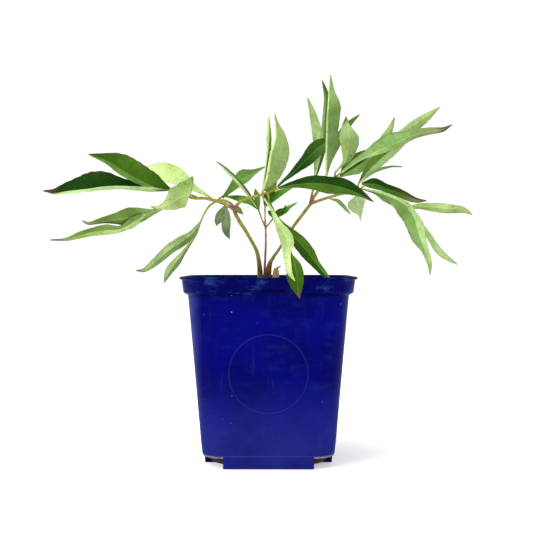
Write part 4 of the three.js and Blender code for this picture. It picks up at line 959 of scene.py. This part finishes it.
def blade(shape, lobe, face, look, phase, spotted=0.0):
    """One lobe: two smooth faces with a grooved and ridged midrib, quilted between its side veins."""
    length = np.linalg.norm(np.diff(np.asarray(lobe["rib"], float), axis=0), axis=1).sum()
    rows = max(FEWEST_ROWS, round(length / STATION_SPACING))
    shares = np.linspace(0, 1, rows)
    columns = np.array([-c for c in reversed(COLUMNS[1:])] + list(COLUMNS))
    middle = seen(blade_grid(lobe, length, shares, columns, phase))
    toward_eye = unit(np.cross(np.gradient(middle, axis=1), np.gradient(middle, axis=0)))
    top_way = toward_eye if face == "upper" else -toward_eye
    centre = len(COLUMNS) - 1
    rib_mm = np.linalg.norm(middle - middle[:, centre:centre + 1], axis=2) / MM
    edge = np.abs(columns)[None, :] * np.ones((rows, 1))

    # Side veins, which start half a spacing later on the right, and the quilting between them
    start = np.where((columns < 0)[None, :], 0.0, 0.5 * VEIN_SPACING)
    vein = ((shares * length)[:, None] - VEIN_SLANT * rib_mm + start) / VEIN_SPACING + phase
    quilt = np.sin(math.pi * vein) ** 2 * np.sin(math.pi * edge) * np.minimum(1, rib_mm / QUILT_FADE)

    # The two sheets, with the midrib grooved on top and ridged below
    taper = (1 - shares)[:, None]
    core = np.exp(-(rib_mm / (CORE_HALF_TIP + CORE_HALF_GAIN * taper)) ** 2)
    half = (MARGIN_THICKNESS + (BLADE_THICKNESS - MARGIN_THICKNESS) * (1 - edge)) / 2
    bulge = QUILTING * quilt
    ridge = RIB_RIDGE * core * (RIDGE_AT_TIP + (1 - RIDGE_AT_TIP) * taper)
    top = middle + top_way * ((half + bulge - RIB_GROOVE * core * taper) * MM)[..., None]
    low = middle - top_way * ((half - bulge + ridge) * MM)[..., None]
    top, low = (np.clip(sheet, *CAD_BOUNDS) for sheet in (top, low))

    size = min(1, max(abs(v) for v in lobe["left"] + lobe["right"]) / FULL_RIB_WIDTH)
    values = {
        "rib_share": rib_mm / (RIB_HALF_TIP + RIB_HALF_GAIN * taper * size),
        "vein": vein,
        "edge": edge,
        "spotted": np.full(edge.shape, spotted),
    }
    tones = ("upper_tone", "under_tone") if face == "upper" else ("under_tone", "upper_tone")
    values.update(zip(tones, blade_tones(look, shares, columns, middle)))
    shape.add([top, low], *blade_faces(rows, len(columns), face != "upper"), **{
        key: np.concatenate([grid.reshape(edge.size, *grid.shape[2:])] * 2) for key, grid in values.items()
    })


def tone_run(stops, shares):
    """A blade's tone along its length, through its named stops."""
    colours = np.array([linear(TONES[stop]) for stop in stops.split(">")])
    places = np.linspace(0, 1, len(colours))
    return np.stack([np.interp(shares, places, colours[:, k]) for k in range(3)], -1)[:, None]


def drift_at(points, scale, shift=(0, 0, 0)):
    """Smooth noise at each point of a grid."""
    return np.array([[noise.noise(Vector(p) * scale + Vector(shift)) for p in row] for row in points])


def blade_tones(look, shares, columns, middle):
    """The colours of a blade's face toward the eye and of its other face, with the painted light and shade of
    its look, browned at the tip and margin.
    """
    left, right, behind, tip = look
    edge = np.abs(columns)[None, :]
    on_right = np.clip(0.5 + columns / HALVES_BLEND, 0, 1)[None, :, None]
    toward = tone_run(left, shares) * (1 - on_right) + tone_run(right, shares) * on_right
    drift = drift_at(middle, 60)
    browned = tip * np.clip((shares[:, None] + 0.06 * drift + 0.05 * edge - 0.9) / 0.07, 0, 1)
    marginal = (0.25 + 0.5 * tip) * np.clip((edge - 0.9) / 0.1, 0, 1) * np.clip(0.3 + 2 * drift, 0, 1)
    spots = np.clip((drift_at(middle, 310, (7, 3, 1)) - 0.5) / 0.1, 0, 1) * 0.4
    share = np.clip(np.maximum(browned, spots), 0, 1)[..., None]
    for tones in (toward, np.broadcast_to(tone_run(behind, shares), toward.shape)):
        colour = tones * (1 + 0.35 * drift[..., None])
        colour = colour * (1 - share) + linear(TIP_BROWN) * share
        colour = colour * (1 - marginal[..., None]) + linear(MARGIN_PURPLE) * marginal[..., None]
        yield np.clip(colour, 0, 1)


def leaflet(name, spec, materials):
    """A leaflet: its lobes, and the stalk that it sits on."""
    shape = Shape()
    other = {"upper": "under", "under": "upper"}
    for number, (lobe, look) in enumerate(zip(spec["lobes"], LOBE_LOOKS[name])):
        face = other[spec["face"]] if (name, number) in TWISTED_LOBES else spec["face"]
        blade(shape, lobe, face, look, LOBE_PHASE * number, spotted=float(name in SPOTTED))
    stalk = seen(spec["stalk"])
    start = stalk[0] + unit(stalk[1] - stalk[0]) * STUB_LENGTH * MM
    path = [start, *stalk[1:]] if len(stalk) > 2 else [start, (start + stalk[1]) / 2, stalk[1]]
    radii = np.linspace(STALK_RADIUS, STALK_TAPER * STALK_RADIUS, STALK_RINGS) * MM
    flush = np.full(STALK_RINGS * STALK_SIDES, STALK_FLUSH)
    tube(shape, evenly(path, STALK_RINGS), radii, STALK_SIDES, 3, flush=flush)
    place(name, shape.mesh(name), "leaf", name, materials=materials)


# Stems


def merged(shape, name, voxel, smooth):
    """The pieces of a shape grown into one skin."""
    mesh = shape.mesh(name + "_loose")
    piece = in_scene(name + "_loose", mesh)
    remesh = piece.modifiers.new("one_skin", "REMESH")
    remesh.mode = "VOXEL"
    remesh.voxel_size = voxel
    remesh.use_smooth_shade = True
    relax = piece.modifiers.new("relax", "SMOOTH")
    relax.factor = 0.5
    relax.iterations = smooth
    whole = worked(piece, name)
    bpy.data.meshes.remove(mesh)
    if "material_index" in whole.attributes:
        whole.attributes.remove(whole.attributes["material_index"])
    return whole


def stem_paths(spec):
    """Each path of a stem and its radii: the trunk from its seat in the mix, then the branches."""
    trunk = seen(evenly(spec["trunk"], 8 * len(spec["trunk"])))
    foot = trunk[0].copy()
    foot[2] = STEM_FOOT_Z * MM
    first = 0.5 / len(spec["trunk"])
    shares = np.concatenate([[0, first / 2], np.linspace(first, 1, len(trunk))])
    yield np.vstack([foot, (foot + trunk[0]) / 2, trunk]), spline(spec["radii"], shares)[:, 0]
    for branch in spec["branches"]:
        path = seen(evenly(branch["path"], 6 * len(branch["path"])))
        yield path, np.linspace(*branch["radii"], len(path))


def gap_to(points, path):
    """How far each point is from a path."""
    return np.min([np.linalg.norm(points - spot, axis=1) for spot in path], axis=0)


def stem(name, spec, material):
    """A stem, its branches and its leaflets' stubs as one skin, flushed brown on top and at its joints."""
    shape = Shape()
    for path, radii in stem_paths(spec):
        tube(shape, path, radii * MM, 16, 0)
    for other in LEAFLETS.values():
        if other["stem"] == name:
            start, after = seen(other["stalk"][:2])
            way = unit(after - start)
            ends = [start - way * STUB_ROOT * MM, start, start + way * STUB_LENGTH * MM]
            tube(shape, ends, STALK_RADIUS * MM, STALK_SIDES, 0)
    whole = merged(shape, name, STEM_VOXEL * MM, 4)

    points = np.array([v.co for v in whole.vertices])
    normals = np.array([v.normal for v in whole.vertices])
    trunk, *branches = [path for path, _ in stem_paths(spec)]
    off_branch = np.min([gap_to(points, branch) for branch in branches], axis=0)
    on_branch = np.clip(0.5 + (gap_to(points, trunk) - off_branch) / (4 * MM), 0, 1)
    trunk_flush, branch_flush = STEM_FLUSH[name]
    from_joint = np.linalg.norm(points - seen(spec["trunk"][-1]), axis=1)
    near_joint = np.exp(-(from_joint / (7 * MM)) ** 2)
    above_rim = points[:, 2] / MM - POT_HEIGHT
    near_foot = np.clip(1 - above_rim / STEM_DARK_FOOT[name], 0, 1) ** 0.9
    on_top = np.clip(normals @ np.array(STEM_BROWN_SIDE[name]), 0, 1)
    dark = np.clip(near_foot * np.clip(1 + 0.5 * normals[:, 0], 0, 1) + 0.5 * near_joint ** 3, 0, 0.95)
    plain = trunk_flush * (1 - on_branch) + branch_flush * on_branch
    flush = np.clip(plain + 0.5 * near_joint + 0.35 * near_foot + 0.45 * on_top, 0, 1)
    for key, values in (("flush", flush), ("foot", dark)):
        whole.attributes.new(key, "FLOAT", "POINT").data.foreach_set("value", values.astype(np.float32))
    whole.shade_smooth()
    place(name, whole, "stem", name, materials=[material])


# Pot


def pot_ring(half, corner, z, lift=0.0, corner_steps=20, side_steps=6):
    """A level ring of the pot: a square with round corners, with the middle of each side lifted."""
    ramp_end = BAND_STEP_HALF + BAND_STEP_RAMP
    stretches = (
        (corner - half, -ramp_end, side_steps),
        (-ramp_end, -BAND_STEP_HALF, 5),
        (-BAND_STEP_HALF, BAND_STEP_HALF, 2 * side_steps),
        (BAND_STEP_HALF, ramp_end, 5),
        (ramp_end, half - corner, side_steps),
    )
    side = np.concatenate([np.linspace(*stretch)[1:] for stretch in stretches])
    share = np.clip((ramp_end - np.abs(side)) / BAND_STEP_RAMP, 0, 1)
    rise = z + lift * share * share * (3 - 2 * share)
    centre = half - corner
    angles = np.linspace(-math.pi / 2, 0, corner_steps + 1)[1:]
    quarter = np.array([(x, -half, up) for x, up in zip(side, rise)] + [
        (centre + corner * math.cos(angle), -centre + corner * math.sin(angle), z) for angle in angles
    ])
    x, y, up = quarter.T
    quarters = [np.stack([x * c - y * s, x * s + y * c, up], -1) for c, s in ((1, 0), (0, 1), (-1, 0), (0, -1))]
    return np.concatenate(quarters) * MM


def pot_corner(half):
    return FOOT_CORNER + (RIM_CORNER - FOOT_CORNER) * (half - SKIRT_HALF) / (LIP_HALF - SKIRT_HALF)


def body_half(z):
    share = (z - BODY_FOOT_Z) / (BODY_TOP_Z - BODY_FOOT_Z)
    return BODY_FOOT_HALF + (BODY_TOP_HALF - BODY_FOOT_HALF) * share


def rounded(profile, radius, steps=3):
    """A profile of (half, z, lift) points with its inner corners rounded."""
    out = [profile[0]]
    for three in zip(profile, profile[1:], profile[2:]):
        a, b, c = (np.array(v, float) for v in three)
        ends = []
        for other in (a, c):
            gap = np.linalg.norm((other - b)[:2])
            ends.append(b + (other - b) * min(radius, gap * 0.45) / max(gap, 1e-9))
        for u in np.linspace(0, 1, steps + 1):
            out.append(tuple((1 - u) ** 2 * ends[0] + 2 * u * (1 - u) * b + u * u * ends[1]))
    return out + [profile[-1]]


def pot(material):
    """The pot: body, rim band, thin lip, skirt, drain notches and a plain ring, as one moulding."""
    rise = BAND_STEP_RISE
    outside = [
        (SKIRT_HALF - 6, 0, 0),
        (SKIRT_HALF - 0.5, 0, 0),
        (SKIRT_HALF, 9, 0),
        (CREASE_HALF, CREASE_Z, 0),
        (BODY_FOOT_HALF, BODY_FOOT_Z, 0),
        *[(body_half(z), z, 0) for z in (45, 70, 95, 120, 140)],
        (BODY_TOP_HALF, BODY_TOP_Z, rise),
        (BAND_FOOT_HALF, BAND_FOOT_Z, rise),
        (BAND_TOP_HALF, POT_HEIGHT - LIP_HEIGHT - 0.6, 0),
        (LIP_HALF, POT_HEIGHT - LIP_HEIGHT, 0),
        (LIP_HALF, POT_HEIGHT, 0),
        (BAND_TOP_HALF - POT_WALL, POT_HEIGHT, 0),
        (BAND_FOOT_HALF - POT_WALL, BAND_FOOT_Z + 1.2, rise),
        (BODY_TOP_HALF - POT_WALL, BODY_TOP_Z + 1.2, rise),
        (BODY_FOOT_HALF - POT_WALL, BODY_FOOT_Z, 0),
        (CREASE_HALF - POT_WALL, CREASE_Z, 0),
        (SKIRT_HALF - POT_WALL, 9, 0),
        (SKIRT_HALF - 0.5 - POT_WALL, FLOOR_THICKNESS, 0),
        (SKIRT_HALF - 8, FLOOR_THICKNESS, 0),
    ]
    rings = np.array([pot_ring(half, pot_corner(half), z, lift) for half, z, lift in rounded(outside, 0.7)])
    shape = Shape()
    shape.add(rings, ring_faces(len(rings), rings.shape[1]), 0)
    piece = in_scene("pot_shell", shape.mesh("pot_shell"))
    tools = [(notch_box(side_x, side_y), "DIFFERENCE") for side_y in (-1, 1) for side_x in (-1, 1)]
    tools.append((ring_object(), "UNION"))
    for number, (tool, operation) in enumerate(tools):
        step = piece.modifiers.new(f"step_{number}", "BOOLEAN")
        step.operation = operation
        step.solver = "EXACT"
        step.object = tool
    whole = worked(piece, "pot")
    for tool, _ in tools:
        bpy.data.objects.remove(tool)
    whole.shade_smooth()
    whole.set_sharp_from_angle(angle=math.radians(32))
    place("pot", whole, "pot", "pot", materials=[material])


def notch_box(side_x, side_y):
    """What a drain notch takes out of one foot corner."""
    across = sorted((side_x * NOTCH_FRONT_START, side_x * (NOTCH_FRONT_START + NOTCH_REACH)))
    deep = sorted((side_y * NOTCH_SIDE_START, side_y * (NOTCH_SIDE_START + NOTCH_REACH)))
    points = [(x * MM, y * MM, z * MM) for z in (-NOTCH_BELOW, NOTCH_HEIGHT) for y in deep for x in across]
    faces = [(0, 2, 3, 1), (4, 5, 7, 6), (0, 1, 5, 4), (1, 3, 7, 5), (3, 2, 6, 7), (2, 0, 4, 6)]
    mesh = bpy.data.meshes.new("notch")
    mesh.from_pydata(points, [], faces)
    return in_scene("notch", mesh)


def ring_object():
    """The plain raised ring, a low rounded bead on the sloping front wall."""
    slope = math.atan2(BODY_TOP_HALF - BODY_FOOT_HALF, BODY_TOP_Z - BODY_FOOT_Z)
    half_bead = [
        (-0.5 * RING_WIDTH - 0.3, -0.8),
        (-0.5 * RING_WIDTH, 0.35 * RING_HEIGHT),
        (-0.2 * RING_WIDTH, RING_HEIGHT),
    ]
    bead = half_bead + [(-out, up) for out, up in reversed(half_bead)]
    middle = RING_RADIUS - RING_WIDTH / 2
    points = []
    for turn in np.linspace(0, 2 * math.pi, RING_STEPS, endpoint=False):
        for out, up in bead:
            x = (middle + out) * math.cos(turn)
            v = (middle + out) * math.sin(turn)
            y = -body_half(RING_Z) - up * math.cos(slope) - v * math.sin(slope)
            z = RING_Z + v * math.cos(slope) - up * math.sin(slope)
            points.append((x * MM, y * MM, z * MM))
    wide = len(bead)
    faces = []
    for i in range(RING_STEPS):
        here, there = i * wide, (i + 1) % RING_STEPS * wide
        for j in range(wide):
            after = (j + 1) % wide
            faces.append((here + j, here + after, there + after, there + j))
    mesh = bpy.data.meshes.new("ring")
    mesh.from_pydata(points, [], faces)
    work = bmesh.new()
    work.from_mesh(mesh)
    bmesh.ops.recalc_face_normals(work, faces=work.faces)
    work.to_mesh(mesh)
    work.free()
    return in_scene("ring", mesh)


# Potting mix


def soil_height(x, y):
    share = math.hypot(x, y) / BODY_TOP_HALF
    bumps = math.sin(x / 7 + 1) * math.cos(y / 9) + math.sin((x + y) / 5)
    return SOIL_EDGE_Z + SOIL_MOUND * max(0, 1 - share * share) + SOIL_BUMP * bumps / 2


def soil(material, bark):
    """The potting mix: a crumbly mound with bark chips, filling the pot."""
    shape = Shape()
    top_z = SOIL_EDGE_Z - 2
    layers = (
        (SKIRT_HALF - 7, FOOT_CORNER, FLOOR_THICKNESS + 0.4),
        (SKIRT_HALF, FOOT_CORNER, NOTCH_HEIGHT - 1),
        (CREASE_HALF, FOOT_CORNER, CREASE_Z),
        (BODY_FOOT_HALF, FOOT_CORNER, BODY_FOOT_Z),
        (body_half(top_z), RIM_CORNER - 2, top_z),
    )
    rings = [pot_ring(half - POT_WALL - SOIL_CLEARANCE, corner, z) for half, corner, z in layers]
    rim = rings[-1]
    for share in np.linspace(0.98, 0.02, 44):
        ring = rim * [share, share, 1]
        for point in ring:
            x, y = point[0] / MM, point[1] / MM
            crumb = noise.fractal(Vector((x, y, 0)) * 0.35, 1.0, 2.0, 3)
            point[2] = (soil_height(x, y) + CRUMB * crumb) * MM
        rings.append(ring)
    rings = np.array(rings)
    shape.add(rings, ring_faces(len(rings), rings.shape[1]), 0)
    feet = [seen(s["trunk"][0]) / MM for s in STEMS.values()]
    for _ in range(CHIP_TRIES):
        x, y = (random.uniform(-CHIP_FIELD, CHIP_FIELD) for _ in range(2))
        size = random.triangular(1.2, 6.5, 2.2)
        long = random.uniform(1.2, 2.2)
        turn = random.uniform(0, math.pi)
        tilt = random.gauss(0, 0.35)
        seed = random.random() * 50
        into_corner = math.hypot(max(abs(x) - 45, 0), max(abs(y) - 45, 0))
        if max(abs(x), abs(y)) + size > CHIP_FIELD or into_corner + size > 25:
            continue
        if min(math.hypot(x - f[0], y - f[1]) for f in feet) < 5 + size:
            continue
        chip(shape, (x, y, soil_height(x, y) + 0.25 * size), size, long, turn, tilt, seed)
    place("soil", shape.mesh("soil"), "soil", "soil", materials=[material, bark])


def chip(shape, centre, size, long, turn, tilt, seed):
    """One angular bark chip: a squashed lump with seven sides."""
    points = []
    for level, width in CHIP_LEVELS:
        for k in range(CHIP_SIDES):
            angle = 2 * math.pi * k / CHIP_SIDES
            jag = 1 + 0.35 * noise.noise(Vector((math.cos(angle) * 2 + seed, math.sin(angle) * 2, level * 3)))
            x = size * 0.5 * long * width * jag * math.cos(angle)
            y = size * 0.5 * width * jag * math.sin(angle)
            z = size * 0.45 * level + x * math.sin(tilt)
            points.append((
                (centre[0] + x * math.cos(turn) - y * math.sin(turn)) * MM,
                (centre[1] + x * math.sin(turn) + y * math.cos(turn)) * MM,
                (centre[2] + z) * MM,
            ))
    shape.add(points, ring_faces(len(CHIP_LEVELS), CHIP_SIDES), 1)


def sheath(material):
    """Curled papery shreds on a short stump."""
    shape = Shape()
    x, y = SHREDS["foot"]
    path = np.array([[x, y, z] for z in np.linspace(*SHREDS["footZ"], 6)]) * MM
    tube(shape, path, SHREDS["footRadius"] * MM, 12, 3)
    for number, shred in enumerate(SHREDS["lobes"]):
        blade(shape, shred, "upper", ("bright", "bright", "bright", 0), SHRED_PHASE * number)
    place("dry_sheath", shape.mesh("dry_sheath"), "straw", "dry_sheath", materials=[material] * 4)


# Camera, light and floor


def camera():
    data = bpy.data.cameras.new("camera")
    data.sensor_width = SENSOR
    data.lens = SENSOR * DRAWING_DISTANCE / FRAME_SIDE
    data.shift_x = (FRAME_SIDE / 2 - AXIS_ACROSS) / FRAME_SIDE
    data.shift_y = (EYE_LEVEL_DOWN - FRAME_SIDE / 2) / FRAME_SIDE
    eye = in_scene("camera", data)
    eye.location = (0, -EYE_DISTANCE * MM, EYE_HEIGHT * MM)
    eye.rotation_euler = (math.pi / 2, 0, 0)
    bpy.context.scene.camera = eye


def area_light(name, place_at, target, size, power):
    data = bpy.data.lights.new(name, "AREA")
    data.shape = "DISK"
    data.size = size
    data.energy = power
    lamp = in_scene(name, data)
    lamp.location = place_at
    way = Vector(target) - Vector(place_at)
    lamp.rotation_euler = way.to_track_quat("-Z", "Y").to_euler()


def studio():
    world = bpy.data.worlds.new("studio")
    world.use_nodes = True
    tree = world.node_tree
    back = tree.nodes["Background"]
    back.inputs["Color"].default_value = (1, 1, 1, 1)
    path = tree.nodes.new("ShaderNodeLightPath")
    strength = tree.nodes.new("ShaderNodeMapRange")
    strength.inputs["To Min"].default_value = SKY_LIGHT
    strength.inputs["To Max"].default_value = SKY_SEEN
    tree.links.new(path.outputs["Is Camera Ray"], strength.inputs["Value"])
    tree.links.new(strength.outputs["Result"], back.inputs["Strength"])
    bpy.context.scene.world = world
    bpy.context.scene.view_settings.view_transform = "Standard"
    for light in LIGHTS:
        area_light(*light)
    mesh = bpy.data.meshes.new("floor")
    corners = [(x * FLOOR_HALF, y * FLOOR_HALF, 0) for x, y in ((-1, -1), (1, -1), (1, 1), (-1, 1))]
    mesh.from_pydata(corners, [], [(0, 1, 2, 3)])
    floor = in_scene("floor", mesh)
    floor.location = (0, 0, CAD_BOUNDS[0][2] - FLOOR_BELOW)
    mesh.materials.append(floor_material())


camera()
studio()
skin = stem_material("stem_skin", (108, 62, 42), (170, 122, 84))
thin_skin = stem_material("thin_stem_skin", (146, 90, 66), (198, 142, 106))
leaf_materials = [
    leaf_material("leaf_upper", "upper_tone", (84, 110, 50), rib_share=0.6, side_share=0.35, roughness=0.45),
    leaf_material("leaf_under", "under_tone", (112, 126, 74), rib_share=0.75, side_share=0.22, roughness=0.6),
    margin_material(),
    skin,
]
potting_mix, bark, straw, root = (grainy_material(name, *look) for name, look in GRAINY.items())
pot(pot_material())
soil(potting_mix, bark)
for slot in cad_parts["root_crown"].material_slots:
    slot.material = root
for stem_name, stem_spec in STEMS.items():
    stem(stem_name, stem_spec, thin_skin if stem_name == "stem_centre" else skin)
sheath(straw)
for leaflet_name, leaflet_spec in LEAFLETS.items():
    leaflet(leaflet_name, leaflet_spec, leaf_materials)

bpy.context.view_layer.update()
